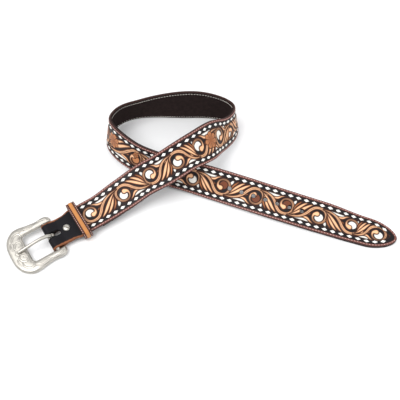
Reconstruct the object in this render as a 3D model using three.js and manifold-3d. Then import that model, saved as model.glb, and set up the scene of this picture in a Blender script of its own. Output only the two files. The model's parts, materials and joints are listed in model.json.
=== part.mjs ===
// Western tooled belt with its buckle open, lying in one loop on a flat surface.
// Units are millimetres, +Z is up, and the belt rests on Z = 0.
// The strap runs from the buckle bar, over its own tip end, round the loop and
// out to the tip, always turning left, with its tooled face outwards.

import * as THREE from 'three';
import { mergeVertices } from 'three/addons/utils/BufferGeometryUtils.js';
import ManifoldModule from 'manifold-3d';

const kernel = await ManifoldModule();
kernel.setup();
const { Manifold, Mesh: ManifoldMesh } = kernel;

// Strap sizes
const BELT_LENGTH = 858; // from the bar to the tip, along the middle of the strap
const STRAP_WIDTH = 38;
const HUMP_WIDTH = 49; // at the middle of the back, behind the concho
const FLOWER_WIDTH = 43; // at the carved flower on each side of the hump
const BACK_AT = 363; // from the bar to the middle of the back
const FLOWER_FROM_BACK = 146;
const HUMP_REACH = 72; // half the length of the swelling at the hump
const FLOWER_REACH = 46;
const TOOLED_PLY = 2.2;
const LINING_PLY = 1.5;
const FOLD_PLY = 1.8; // the tooled ply is skived thinner where it turns back under
const EDGE_BEVEL = 0.6;
const TIP_LENGTH = 33;
const TIP_ROUNDNESS = 1.75; // exponent of the rounded point, where 2 is an ellipse
const TIP_END_SHARE = 0.985; // the last section, as a share of the tip's length

// Clearances
const PIECE_GAP = 0.3; // between two pieces that touch on the real belt
const CROSSING_GAP = 1.2; // between the strap and its own tip end where they cross
const FLOOR_GAP = 0.3; // under the fold at the bar

// Adjusting holes
const HOLE_DIAMETER = 4.8;
const HOLE_COUNT = 7;
const HOLE_PITCH = 14.4;
const LAST_HOLE_FROM_TIP = 108;
const HOLE_SIDES = 12;

// Buckle end
const NECK_WIDTH = 33; // the strap between the bar and the keeper
const END_LENGTH = 54; // straight stretch from the bar to the end of the fold
const FOLD_EASE = 13; // along the strap, how far the plies take to come together
const FOLD_STEPS = 10; // sections round the bar
const SLOT_WIDTH = 6.4; // the prong's slot through the fold
const SLOT_BEHIND_BAR = 8.5;

// Buckle
const BUCKLE_WIDTH = 58;
const BUCKLE_REACH = 47; // from the bar's axis to the front of the frame
const LOBE_REACH = 8.5; // how far the two lobes stand behind the bar's axis
const BUCKLE_THICKNESS = 5;
const FRONT_BAND = 19;
const ARM_WIDTH = 11.6;
const BUCKLE_BEVEL = 1.5;
const WINDOW_CORNER = 4;
const BAR_DIAMETER = 4.6;
const BAR_SIDES = 12;
const PRONG_DIAMETER = 4;
const PRONG_EYE_WALL = 1.6;
const PRONG_OVERHANG = 1.5; // how far the tip reaches past the middle of the band
const PRONG_ARCH = 3.2; // how far the prong bows up between bar and band
const PRONG_SIDES = 10;

// Keeper, screw and concho
const KEEPER_AT = 35; // from the bar to the middle of the keeper
const KEEPER_BREADTH = 10;
const KEEPER_WALL = 2.2;
const KEEPER_ROOM = 5.8; // above the strap, for the tip end to slide through
const KEEPER_SIDE_ROOM = 1.2;
const KEEPER_CORNER = 3;
const SCREW_AT = 19;
const SCREW_HEAD_DIAMETER = 8;
const SCREW_HEAD_HEIGHT = 1.8;
const SCREW_POST_DIAMETER = 4;
const SCREW_CAP_HEIGHT = 0.9;
const SCREW_SLOT_WIDTH = 1.1;
const CONCHO_DIAMETER = 38;
const CONCHO_RIM_HEIGHT = 1.6;
const CONCHO_DISH_HEIGHT = 2.4;
const CONCHO_DOME_DIAMETER = 14;
const CONCHO_DOME_HEIGHT = 2.6;
const CONCHO_PETALS = 12;
const CONCHO_PETAL_HEIGHT = 1.3;
const CONCHO_PETAL_TIP_SHARE = 0.9; // of the concho's radius
const CONCHO_PETAL_WAIST_SHARE = 0.5;
const CONCHO_POST_DIAMETER = 4;
const CONCHO_SIDES = 36;

// Mesh fineness
const COURSE_STEP = 2; // between the points that the course is added up from
const SECTION_PITCH = 6.5; // between the sections of the strap and lining
const TIP_SECTIONS = 9;

const THICKNESS = TOOLED_PLY + PIECE_GAP + LINING_PLY;
const BAR_RADIUS = BAR_DIAMETER / 2;
const FOLD_INNER_RADIUS = BAR_RADIUS + PIECE_GAP;
const FOLD_OUTER_RADIUS = FOLD_INNER_RADIUS + TOOLED_PLY;

// The course of the strap, a row for each change. share is along BELT_LENGTH,
// heading and lean are degrees, and lift is a share of the rise over the tip end.
// lean is 0 where the strap lies flat, tooled face up, and 90 where it stands on edge.
const COURSE = [
  { share: 0.000, heading: 33, lean: 7, lift: 0.12 },
  { share: 0.063, heading: 33, lean: 7, lift: 0.18 },
  { share: 0.107, heading: 31, lean: 20, lift: 0.29 },
  { share: 0.157, heading: 13, lean: 32, lift: 0.66 },
  { share: 0.207, heading: 35, lean: 44, lift: 1.00 },
  { share: 0.256, heading: 53, lean: 55, lift: 0.70 },
  { share: 0.295, heading: 55, lean: 69, lift: 0.34 },
  { share: 0.335, heading: 82, lean: 80, lift: 0.11 },
  { share: 0.374, heading: 166, lean: 83, lift: 0.00 },
  { share: 0.423, heading: 181, lean: 84, lift: 0.00 },
  { share: 0.473, heading: 183, lean: 81, lift: 0.05 },
  { share: 0.512, heading: 204, lean: 76, lift: 0.06 },
  { share: 0.552, heading: 255, lean: 78, lift: 0.08 },
  { share: 0.591, heading: 307, lean: 76, lift: 0.10 },
  { share: 0.640, heading: 331, lean: 70, lift: 0.08 },
  { share: 0.700, heading: 343, lean: 59, lift: 0.01 },
  { share: 0.769, heading: 341, lean: 40, lift: 0.00 },
  { share: 0.848, heading: 340, lean: 21, lift: 0.02 },
  { share: 0.900, heading: 341, lean: 16, lift: 0.00 },
  { share: 0.967, heading: 342, lean: 0, lift: 0.00 },
  { share: 1.000, heading: 342, lean: 0, lift: 0.00 },
];

// Where the strap is wider than STRAP_WIDTH.
const SWELLINGS = [
  { at: BACK_AT - FLOWER_FROM_BACK, reach: FLOWER_REACH, width: FLOWER_WIDTH },
  { at: BACK_AT, reach: HUMP_REACH, width: HUMP_WIDTH },
  { at: BACK_AT + FLOWER_FROM_BACK, reach: FLOWER_REACH, width: FLOWER_WIDTH },
];

// Half of the buckle frame's outer edge, from the middle of the front to the lobe.
// forward is a share of BUCKLE_REACH, out is a share of half BUCKLE_WIDTH.
const FRAME_EDGE = [
  { forward: 1.00, out: 0.00 },
  { forward: 0.985, out: 0.40 },
  { forward: 0.90, out: 0.74 },
  { forward: 0.74, out: 0.96 },
  { forward: 0.58, out: 1.00 },
  { forward: 0.38, out: 0.94 },
  { forward: 0.16, out: 0.90 },
  { forward: 0.00, out: 0.93 },
];

const MATERIALS = {
  tooled_leather: { color: 0xa06a3c, roughness: 0.55, metalness: 0 },
  lining_leather: { color: 0x2d2626, roughness: 0.95, metalness: 0 },
  keeper_leather: { color: 0xd08c4a, roughness: 0.5, metalness: 0 },
  buckle_silver: { color: 0xcfccc6, roughness: 0.32, metalness: 1 },
  concho_metal: { color: 0x9a8a5a, roughness: 0.4, metalness: 1 },
};

const degrees = THREE.MathUtils.degToRad;
const vector = (x, y, z) => new THREE.Vector3(x, y, z);

// Monotone cubic through the rows of a table, which never overshoots a row.
function rowCurve(rows, column) {
  const at = rows.map((row) => row.share);
  const value = rows.map((row) => row[column]);
  const slope = at.slice(1).map((share, k) => (value[k + 1] - value[k]) / (share - at[k]));
  const tangent = at.map((share, k) => {
    if (k === 0) return slope[0];
    if (k === at.length - 1) return slope[k - 1];
    if (slope[k - 1] * slope[k] <= 0) return 0;
    const before = at[k] - at[k - 1];
    const after = at[k + 1] - at[k];
    const weight = [2 * after + before, after + 2 * before];
    return (weight[0] + weight[1]) / (weight[0] / slope[k - 1] + weight[1] / slope[k]);
  });
  return (share) => {
    let k = 0;
    while (k < at.length - 2 && share > at[k + 1]) k += 1;
    const span = at[k + 1] - at[k];
    const t = THREE.MathUtils.clamp((share - at[k]) / span, 0, 1);
    const rise = value[k + 1] - value[k];
    const a = tangent[k] * span;
    const b = tangent[k + 1] * span;
    return value[k] + a * t + (3 * rise - 2 * a - b) * t * t + (a + b - 2 * rise) * t * t * t;
  };
}

const headingAt = rowCurve(COURSE, 'heading');
const leanAt = rowCurve(COURSE, 'lean');
const liftAt = rowCurve(COURSE, 'lift');

// Full width of the strap before its tip is cut.
function bodyWidth(along) {
  let width = STRAP_WIDTH;
  for (const swelling of SWELLINGS) {
    const t = Math.abs(along - swelling.at) / swelling.reach;
    if (t < 1) width += (swelling.width - STRAP_WIDTH) * Math.cos((t * Math.PI) / 2) ** 2;
  }
  return width;
}

// Half width of the strap, with the neck at the buckle and the rounded point.
function halfWidth(along) {
  const neckEnd = KEEPER_AT - KEEPER_BREADTH / 2;
  const ease = THREE.MathUtils.smoothstep(along, neckEnd - KEEPER_BREADTH, neckEnd);
  const body = THREE.MathUtils.lerp(NECK_WIDTH, bodyWidth(along), ease) / 2;
  const t = (along - (BELT_LENGTH - TIP_LENGTH)) / TIP_LENGTH;
  return t <= 0 ? body : body * (1 - t ** TIP_ROUNDNESS) ** (1 / TIP_ROUNDNESS);
}

// Frames along the middle of the strap, for a given rise over the tip end.
function layCourse(rise) {
  const count = Math.round(BELT_LENGTH / COURSE_STEP);
  const step = BELT_LENGTH / count;
  const height = (along) => {
    const share = along / BELT_LENGTH;
    const lean = degrees(leanAt(share));
    const onEdge = (bodyWidth(along) / 2) * Math.sin(lean);
    return onEdge + (THICKNESS / 2) * Math.cos(lean) + liftAt(share) * rise;
  };
  // The straight end climbs from the bar to the height of the table's course.
  const endLean = degrees(COURSE[0].lean);
  const barHeight = (NECK_WIDTH / 2) * Math.sin(endLean) + FLOOR_GAP
    + (FOLD_OUTER_RADIUS + MID_OVER_BAR) * Math.cos(endLean);
  const climb = (height(END_LENGTH) - barHeight) / END_LENGTH;
  const heightOf = (along) => (along < END_LENGTH ? barHeight + climb * along : height(along));
  const frames = [];
  const place = vector(0, 0, 0);
  for (let k = 0; k <= count; k += 1) {
    const along = k * step;
    const slope = along < END_LENGTH
      ? climb
      : (heightOf(Math.min(along + step, BELT_LENGTH)) - heightOf(along - step))
        / (Math.min(along + step, BELT_LENGTH) - along + step);
    const heading = degrees(headingAt(along / BELT_LENGTH));
    const lean = degrees(leanAt(along / BELT_LENGTH));
    const level = Math.sqrt(Math.max(0.1, 1 - slope * slope));
    const forward = vector(Math.cos(heading) * level, Math.sin(heading) * level, slope);
    const left = vector(-Math.sin(heading), Math.cos(heading), 0);
    const over = forward.clone().cross(left);
    const across = left.multiplyScalar(Math.cos(lean)).addScaledVector(over, Math.sin(lean));
    const outward = forward.clone().cross(across);
    frames.push({ along, centre: place.clone().setZ(heightOf(along)), forward, across, outward });
    place.addScaledVector(vector(forward.x, forward.y, 0), step);
  }
  return frames;
}

// The mid plane of the strap lies this far over the bar's axis, so that the two
// plies of the fold close with their gap level with the bar.
const MID_OVER_BAR = PIECE_GAP / 2 + TOOLED_PLY - THICKNESS / 2;

// Points across the strap between two shares of its length.
function ribbonPoints(frames, from, to) {
  const points = [];
  for (const frame of frames) {
    const share = frame.along / BELT_LENGTH;
    if (share < from || share > to) continue;
    const half = bodyWidth(frame.along) / 2;
    for (let t = -1; t <= 1.001; t += 0.1) {
      points.push(frame.centre.clone().addScaledVector(frame.across, half * t));
    }
  }
  return points;
}

// Nearest distance between the strap and its tip end where they cross.
function crossingDistance(frames) {
  const over = ribbonPoints(frames, 0.1, 0.3);
  const under = ribbonPoints(frames, 0.58, 0.82);
  let nearest = Infinity;
  for (const point of over) {
    for (const other of under) nearest = Math.min(nearest, point.distanceToSquared(other));
  }
  return Math.sqrt(nearest);
}

// The smallest rise that keeps the strap clear of its tip end.
function solveRise() {
  let low = 0;
  let high = 3 * HUMP_WIDTH;
  while (high - low > 0.2) {
    const middle = (low + high) / 2;
    if (crossingDistance(layCourse(middle)) < THICKNESS + CROSSING_GAP) low = middle;
    else high = middle;
  }
  return high;
}

const FRAMES = layCourse(solveRise());

// The frame at any distance along the strap.
function frameAt(along) {
  const place = THREE.MathUtils.clamp(along / (BELT_LENGTH / (FRAMES.length - 1)), 0, FRAMES.length - 1);
  const k = Math.min(Math.floor(place), FRAMES.length - 2);
  const t = place - k;
  const mix = (key) => FRAMES[k][key].clone().lerp(FRAMES[k + 1][key], t);
  const forward = mix('forward').normalize();
  const across = mix('across').normalize();
  return { along, centre: mix('centre'), forward, across, outward: forward.clone().cross(across) };
}

// How far the strap's face stands above its own level at a place, within a radius.
function faceBulge(along, radius) {
  const seat = frameAt(along);
  let bulge = 0;
  for (const frame of FRAMES) {
    const reach = frame.along - along;
    if (Math.abs(reach) > radius) continue;
    const wide = Math.min(Math.sqrt(radius * radius - reach * reach), halfWidth(frame.along));
    for (const side of [-wide, 0, wide]) {
      const point = frame.centre.clone().sub(seat.centre).addScaledVector(frame.across, side)
        .addScaledVector(frame.outward, THICKNESS / 2);
      bulge = Math.max(bulge, point.dot(seat.outward) - THICKNESS / 2);
    }
  }
  return bulge;
}

// The buckle end stands in its own axes: x along the strap from the bar's axis,
// y across it, z out of the tooled face.
const END_FRAME = FRAMES[0];
const BAR_CENTRE = END_FRAME.centre.clone().addScaledVector(END_FRAME.outward, -MID_OVER_BAR);
const END_MATRIX = new THREE.Matrix4()
  .makeBasis(END_FRAME.forward, END_FRAME.across, END_FRAME.outward)
  .setPosition(BAR_CENTRE);

// A section of a ply: where its middle is, which way it faces, and its size.
function section(centre, across, outward, half, ply) {
  return { centre, across, outward, half, ply };
}

// Sections of a ply on the course, with its middle offset mm out of the mid plane.
function plySections(stations, offset, ply) {
  return stations.map((along) => {
    const frame = frameAt(along);
    const centre = frame.centre.clone().addScaledVector(frame.outward, offset);
    return section(centre, frame.across, frame.outward, halfWidth(along), ply);
  });
}

// Distances along the strap of its sections, closer together in the rounded tip.
function stationsFrom(start) {
  const bodyEnd = BELT_LENGTH - TIP_LENGTH;
  const count = Math.ceil((bodyEnd - start) / SECTION_PITCH);
  const stations = [];
  for (let k = 0; k < count; k += 1) stations.push(start + ((bodyEnd - start) * k) / count);
  for (let k = 0; k <= TIP_SECTIONS; k += 1) {
    const t = Math.sin(((k / TIP_SECTIONS) * Math.PI) / 2) * TIP_END_SHARE;
    stations.push(bodyEnd + TIP_LENGTH * t);
  }
  return stations;
}

// A closed body through sections, whose outer face has bevelled edges.
function loft(sections, bevel) {
  const positions = [];
  const ring = [[-1, -1, 0, 0], [1, -1, 0, 0], [1, 1, 0, -1], [1, 1, -1, 0], [-1, 1, 1, 0], [-1, 1, 0, -1]];
  for (const row of sections) {
    for (const [side, face, inset, drop] of ring) {
      const point = row.centre.clone();
      point.addScaledVector(row.across, side * row.half + inset * bevel);
      point.addScaledVector(row.outward, (face * row.ply) / 2 + drop * bevel);
      positions.push(point.x, point.y, point.z);
    }
  }
  const sides = ring.length;
  const index = [];
  for (let k = 0; k < sections.length - 1; k += 1) {
    for (let j = 0; j < sides; j += 1) {
      const a = k * sides + j;
      const b = k * sides + ((j + 1) % sides);
      index.push(a, a + sides, b, b, a + sides, b + sides);
    }
  }
  const last = (sections.length - 1) * sides;
  for (let j = 1; j < sides - 1; j += 1) {
    index.push(0, j, j + 1);
    index.push(last, last + j + 1, last + j);
  }
  return solid(positions, index);
}

// A manifold body from corners and triangles, turned the right way out.
function solid(positions, index) {
  const mesh = new ManifoldMesh({
    numProp: 3,
    vertProperties: Float32Array.from(positions),
    triVerts: Uint32Array.from(index),
  });
  mesh.merge();
  const body = new Manifold(mesh);
  if (body.volume() > 0) return body;
  const turned = [];
  for (let k = 0; k < index.length; k += 3) turned.push(index[k], index[k + 2], index[k + 1]);
  const other = new ManifoldMesh({
    numProp: 3,
    vertProperties: Float32Array.from(positions),
    triVerts: Uint32Array.from(turned),
  });
  other.merge();
  return new Manifold(other);
}

// A manifold body from a three.js geometry.
function solidOf(geometry) {
  const plain = geometry.clone();
  plain.deleteAttribute('normal');
  plain.deleteAttribute('uv');
  const merged = mergeVertices(plain, 1e-4);
  return solid(Array.from(merged.attributes.position.array), Array.from(merged.index.array));
}

// A three.js geometry from a manifold body.
function geometryOf(body) {
  const mesh = body.getMesh();
  const geometry = new THREE.BufferGeometry();
  const positions = new Float32Array((mesh.vertProperties.length / mesh.numProp) * 3);
  for (let k = 0; k < positions.length / 3; k += 1) {
    for (let axis = 0; axis < 3; axis += 1) {
      positions[k * 3 + axis] = mesh.vertProperties[k * mesh.numProp + axis];
    }
  }
  geometry.setAttribute('position', new THREE.BufferAttribute(positions, 3));
  geometry.setIndex(new THREE.BufferAttribute(Uint32Array.from(mesh.triVerts), 1));
  geometry.computeVertexNormals();
  return geometry;
}

// A round body about z, from a low to a high end.
function rod(diameter, low, high, sides) {
  return Manifold.cylinder(high - low, diameter / 2, diameter / 2, sides).translate([0, 0, low]);
}

// Moves a body made about the origin onto the strap's face at a distance along it.
function onStrap(body, along) {
  const frame = frameAt(along);
  const matrix = new THREE.Matrix4().makeBasis(frame.forward, frame.across, frame.outward);
  matrix.setPosition(frame.centre);
  return body.transform(matrix.elements);
}

// The fold's plies in the buckle end's axes. The path runs from the strap's start
// down to the bar, round it, and back under the strap.
function foldSections() {
  const atEnd = (x, z, nx, nz, ply) => {
    const centre = vector(x, 0, z).applyMatrix4(END_MATRIX);
    const outward = vector(nx, 0, nz).transformDirection(END_MATRIX);
    const half = x < 0 ? NECK_WIDTH / 2 : halfWidth(x);
    return section(centre, END_FRAME.across, outward, half, ply);
  };
  const radius = FOLD_INNER_RADIUS + TOOLED_PLY / 2;
  const topLevel = (PIECE_GAP + TOOLED_PLY) / 2;
  const ease = (x) => 1 - THREE.MathUtils.smoothstep(x, 0, FOLD_EASE);
  const rows = [];
  for (const x of [END_LENGTH - SECTION_PITCH, KEEPER_AT, KEEPER_AT - KEEPER_BREADTH, FOLD_EASE]) {
    rows.push(atEnd(x, topLevel, 0, 1, TOOLED_PLY));
  }
  for (const t of [0.75, 0.5, 0.25]) {
    const x = t * FOLD_EASE;
    rows.push(atEnd(x, topLevel + (radius - topLevel) * ease(x), ...slopeNormal(x, ease, radius - topLevel), TOOLED_PLY));
  }
  for (let k = 0; k <= FOLD_STEPS; k += 1) {
    const angle = Math.PI / 2 + (Math.PI * k) / FOLD_STEPS;
    rows.push(atEnd(radius * Math.cos(angle), radius * Math.sin(angle), Math.cos(angle), Math.sin(angle), TOOLED_PLY));
  }
  for (const t of [0.25, 0.5, 0.75, 1]) {
    const x = t * FOLD_EASE;
    const ply = THREE.MathUtils.lerp(TOOLED_PLY, FOLD_PLY, t);
    const level = (PIECE_GAP + ply) / 2;
    const [nx, nz] = slopeNormal(x, ease, radius - level);
    rows.push(atEnd(x, -level - (radius - level) * ease(x), nx, -nz, ply));
  }
  for (const x of [KEEPER_AT, END_LENGTH - PIECE_GAP]) {
    const row = atEnd(x, -(PIECE_GAP + FOLD_PLY) / 2, 0, -1, FOLD_PLY);
    row.half = NECK_WIDTH / 2;
    rows.push(row);
  }
  return rows;
}

// The outward normal of an eased stretch, in the plane of x and z.
function slopeNormal(x, ease, drop) {
  const step = 0.01;
  const slope = (drop * (ease(x + step) - ease(x - step))) / (2 * step);
  const length = Math.hypot(slope, 1);
  return [-slope / length, 1 / length];
}

// Distances along the strap of the seven adjusting holes.
const HOLE_PLACES = Array.from({ length: HOLE_COUNT }, (unused, k) =>
  BELT_LENGTH - LAST_HOLE_FROM_TIP - k * HOLE_PITCH);

// The drills for the adjusting holes, as one body.
function holeDrills() {
  const drills = HOLE_PLACES.map((along) =>
    onStrap(rod(HOLE_DIAMETER, -THICKNESS, THICKNESS, HOLE_SIDES), along));
  return Manifold.union(drills);
}

// The tooled outer ply, which turns under round the bar.
function makeStrap() {
  const offset = (THICKNESS - TOOLED_PLY) / 2;
  const top = plySections(stationsFrom(END_LENGTH), offset, TOOLED_PLY).reverse();
  let body = loft([...top, ...foldSections()], EDGE_BEVEL);
  const slotHeight = 4 * FOLD_OUTER_RADIUS;
  const slotFront = FOLD_OUTER_RADIUS + TOOLED_PLY;
  const slot = Manifold.cube([slotFront + SLOT_BEHIND_BAR, SLOT_WIDTH, slotHeight], true)
    .translate([(SLOT_BEHIND_BAR - slotFront) / 2, 0, 0]);
  const slotEnd = rod(SLOT_WIDTH, -slotHeight / 2, slotHeight / 2, HOLE_SIDES)
    .translate([SLOT_BEHIND_BAR, 0, 0]);
  const screwHole = rod(SCREW_POST_DIAMETER + 2 * PIECE_GAP, -slotHeight, slotHeight, HOLE_SIDES)
    .translate([SCREW_AT, 0, 0]);
  const endCuts = Manifold.union([slot, slotEnd, screwHole]).transform(END_MATRIX.elements);
  const conchoHole = onStrap(
    rod(CONCHO_POST_DIAMETER + 2 * PIECE_GAP, -THICKNESS, THICKNESS, HOLE_SIDES), BACK_AT);
  body = body.subtract(Manifold.union([endCuts, holeDrills(), conchoHole]));
  return body;
}

// The suede lining under the strap, from the end of the fold to the tip.
function makeLining() {
  const offset = -(THICKNESS - LINING_PLY) / 2;
  const start = END_LENGTH + PIECE_GAP;
  return loft(plySections(stationsFrom(start), offset, LINING_PLY), 0).subtract(holeDrills());
}

// A rounded rectangle across the strap, as a shape in y and z.
function roundedSection(halfAcross, low, high, corner) {
  const shape = new THREE.Shape();
  shape.moveTo(halfAcross - corner, low);
  shape.quadraticCurveTo(halfAcross, low, halfAcross, low + corner);
  shape.lineTo(halfAcross, high - corner);
  shape.quadraticCurveTo(halfAcross, high, halfAcross - corner, high);
  shape.lineTo(-halfAcross + corner, high);
  shape.quadraticCurveTo(-halfAcross, high, -halfAcross, high - corner);
  shape.lineTo(-halfAcross, low + corner);
  shape.quadraticCurveTo(-halfAcross, low, -halfAcross + corner, low);
  return shape;
}

// The loop that holds the tip end down, round both plies of the buckle end.
function makeKeeper() {
  const inner = {
    half: STRAP_WIDTH / 2 + KEEPER_SIDE_ROOM,
    low: -(PIECE_GAP / 2 + FOLD_PLY + PIECE_GAP),
    high: PIECE_GAP / 2 + TOOLED_PLY + KEEPER_ROOM,
  };
  const outline = roundedSection(
    inner.half + KEEPER_WALL, inner.low - KEEPER_WALL, inner.high + KEEPER_WALL, KEEPER_CORNER);
  const hollow = roundedSection(
    inner.half, inner.low, inner.high, KEEPER_CORNER - KEEPER_WALL * 0.6);
  outline.holes.push(new THREE.Path(hollow.getPoints(3).reverse()));
  const geometry = new THREE.ExtrudeGeometry(outline, {
    depth: KEEPER_BREADTH, bevelEnabled: false, curveSegments: 3,
  });
  // The shape's x and y become the strap's y and z, and its depth the strap's x.
  const turn = new THREE.Matrix4().makeBasis(vector(0, 1, 0), vector(0, 0, 1), vector(1, 0, 0));
  turn.setPosition(KEEPER_AT - KEEPER_BREADTH / 2, 0, 0);
  geometry.applyMatrix4(turn);
  return solidOf(geometry).transform(END_MATRIX.elements);
}

// The slotted screw that closes the fold, head, post and cap in one.
function makeScrew() {
  const face = PIECE_GAP / 2 + TOOLED_PLY + PIECE_GAP;
  const back = -(PIECE_GAP / 2 + FOLD_PLY + PIECE_GAP);
  const headRadius = SCREW_HEAD_DIAMETER / 2;
  const profile = [
    new THREE.Vector2(0, back - SCREW_CAP_HEIGHT),
    new THREE.Vector2(headRadius, back - SCREW_CAP_HEIGHT),
    new THREE.Vector2(headRadius, back),
    new THREE.Vector2(SCREW_POST_DIAMETER / 2, back),
    new THREE.Vector2(SCREW_POST_DIAMETER / 2, face),
    new THREE.Vector2(headRadius, face),
    new THREE.Vector2(headRadius, face + SCREW_HEAD_HEIGHT * 0.4),
    new THREE.Vector2(headRadius * 0.7, face + SCREW_HEAD_HEIGHT * 0.85),
    new THREE.Vector2(0, face + SCREW_HEAD_HEIGHT),
  ];
  const geometry = new THREE.LatheGeometry(profile, 16);
  geometry.rotateX(Math.PI / 2);
  const driverSlot = Manifold.cube([SCREW_SLOT_WIDTH, SCREW_HEAD_DIAMETER * 2, SCREW_HEAD_HEIGHT], true)
    .rotate([0, 0, 40])
    .translate([0, 0, face + SCREW_HEAD_HEIGHT]);
  return solidOf(geometry).subtract(driverSlot)
    .translate([SCREW_AT, 0, 0])
    .transform(END_MATRIX.elements);
}

// The buckle's outline in its own plane: x back towards the strap, y across.
function frameOutline() {
  const halfWide = BUCKLE_WIDTH / 2;
  const lobeRadius = ARM_WIDTH * 0.56;
  const side = FRAME_EDGE.map((row) => vector(-row.forward * BUCKLE_REACH, row.out * halfWide, 0));
  const lobeCentre = vector(LOBE_REACH - lobeRadius, halfWide * 0.93 - lobeRadius, 0);
  for (const angle of [60, 20, -20, -60, -100]) {
    side.push(lobeCentre.clone().add(vector(
      lobeRadius * Math.cos(degrees(angle)), lobeRadius * Math.sin(degrees(angle)), 0)));
  }
  const smooth = new THREE.CatmullRomCurve3(side, false, 'centripetal').getPoints(30);
  const shape = new THREE.Shape();
  const inner = halfWide - ARM_WIDTH;
  const back = [vector(BAR_RADIUS, inner, 0), vector(BAR_RADIUS, -inner, 0)];
  const mirrored = smooth.slice(1).reverse().map((point) => vector(point.x, -point.y, 0));
  const points = [...smooth, ...back, ...mirrored];
  shape.setFromPoints(points.map((point) => new THREE.Vector2(point.x, point.y)));
  return shape;
}

// The opening between the front band, the arms and the bar.
function frameWindow() {
  const half = BUCKLE_WIDTH / 2 - ARM_WIDTH;
  const front = -(BUCKLE_REACH - FRONT_BAND);
  const back = -BAR_RADIUS * 0.4;
  const hole = new THREE.Shape();
  hole.moveTo(front + WINDOW_CORNER, -half);
  hole.lineTo(back, -half);
  hole.lineTo(back, half);
  hole.lineTo(front + WINDOW_CORNER, half);
  hole.quadraticCurveTo(front, half, front, half - WINDOW_CORNER);
  hole.lineTo(front, -half + WINDOW_CORNER);
  hole.quadraticCurveTo(front, -half, front + WINDOW_CORNER, -half);
  return hole;
}

// The cast frame with its bar, in its own plane, the bar's axis on y.
function makeFrame() {
  const inset = BUCKLE_BEVEL;
  const plate = new THREE.ExtrudeGeometry(frameOutline(), {
    depth: BUCKLE_THICKNESS - 2 * inset,
    bevelEnabled: true,
    bevelThickness: inset,
    bevelSize: inset,
    bevelOffset: -inset,
    bevelSegments: 2,
    curveSegments: 4,
  });
  plate.translate(0, 0, inset - BUCKLE_THICKNESS / 2);
  const half = BUCKLE_WIDTH / 2 - ARM_WIDTH;
  const cut = new THREE.ExtrudeGeometry(frameWindow(), {
    depth: 2 * BUCKLE_THICKNESS, bevelEnabled: false, curveSegments: 4,
  });
  cut.translate(0, 0, -BUCKLE_THICKNESS);
  const behindBar = Manifold.cube([LOBE_REACH * 3, 2 * half, 4 * BUCKLE_THICKNESS], true)
    .translate([LOBE_REACH * 1.5 - BAR_RADIUS * 0.4 - 0.01, 0, 0]);
  const bar = rod(BAR_DIAMETER, -half - ARM_WIDTH / 2, half + ARM_WIDTH / 2, BAR_SIDES)
    .rotate([90, 0, 0]);
  return solidOf(plate).subtract(solidOf(cut)).subtract(behindBar).add(bar);
}

// The prong with its eye round the bar, in the frame's plane.
function makeProng() {
  const eyeInner = BAR_RADIUS + PIECE_GAP;
  const eyeOuter = eyeInner + PRONG_EYE_WALL;
  const eye = rod(2 * eyeOuter, -PRONG_DIAMETER / 2, PRONG_DIAMETER / 2, 16)
    .subtract(rod(2 * eyeInner, -PRONG_DIAMETER, PRONG_DIAMETER, 16))
    .rotate([90, 0, 0]);
  const bandTop = BUCKLE_THICKNESS / 2 + PIECE_GAP;
  const tipAt = -(BUCKLE_REACH - FRONT_BAND / 2 + PRONG_OVERHANG);
  const rest = bandTop + PRONG_DIAMETER / 2;
  const start = eyeInner + PRONG_EYE_WALL / 2;
  const path = new THREE.CatmullRomCurve3([
    vector(0, 0, start + 0.4),
    vector(tipAt * 0.14, 0, rest + PRONG_ARCH * 0.75),
    vector(tipAt * 0.36, 0, rest + PRONG_ARCH),
    vector(tipAt * 0.66, 0, rest + PRONG_ARCH * 0.45),
    vector(tipAt * 0.86, 0, rest),
    vector(tipAt, 0, rest - PRONG_DIAMETER * 0.08),
  ]);
  const rows = [];
  const count = 14;
  for (let k = 0; k <= count; k += 1) {
    const t = k / count;
    const centre = path.getPoint(t);
    const tangent = path.getTangent(t);
    const radius = (PRONG_DIAMETER / 2) * (t > 0.93 ? 1 - (t - 0.93) * 6 : 1 - 0.12 * t);
    rows.push({ centre, tangent, radius });
  }
  const positions = [];
  for (const row of rows) {
    const side = vector(0, 1, 0);
    const over = side.clone().cross(row.tangent).normalize();
    for (let j = 0; j < PRONG_SIDES; j += 1) {
      const angle = (j / PRONG_SIDES) * 2 * Math.PI;
      const point = row.centre.clone()
        .addScaledVector(side, row.radius * Math.cos(angle))
        .addScaledVector(over, row.radius * Math.sin(angle));
      positions.push(point.x, point.y, point.z);
    }
  }
  const index = [];
  for (let k = 0; k < count; k += 1) {
    for (let j = 0; j < PRONG_SIDES; j += 1) {
      const a = k * PRONG_SIDES + j;
      const b = k * PRONG_SIDES + ((j + 1) % PRONG_SIDES);
      index.push(a, b, a + PRONG_SIDES, b, b + PRONG_SIDES, a + PRONG_SIDES);
    }
  }
  const last = count * PRONG_SIDES;
  for (let j = 1; j < PRONG_SIDES - 1; j += 1) {
    index.push(0, j + 1, j);
    index.push(last, last + j, last + j + 1);
  }
  const barRoom = rod(2 * eyeInner, -PRONG_DIAMETER * 2, PRONG_DIAMETER * 2, 16).rotate([90, 0, 0]);
  return eye.add(solid(positions, index)).subtract(barRoom);
}

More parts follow.
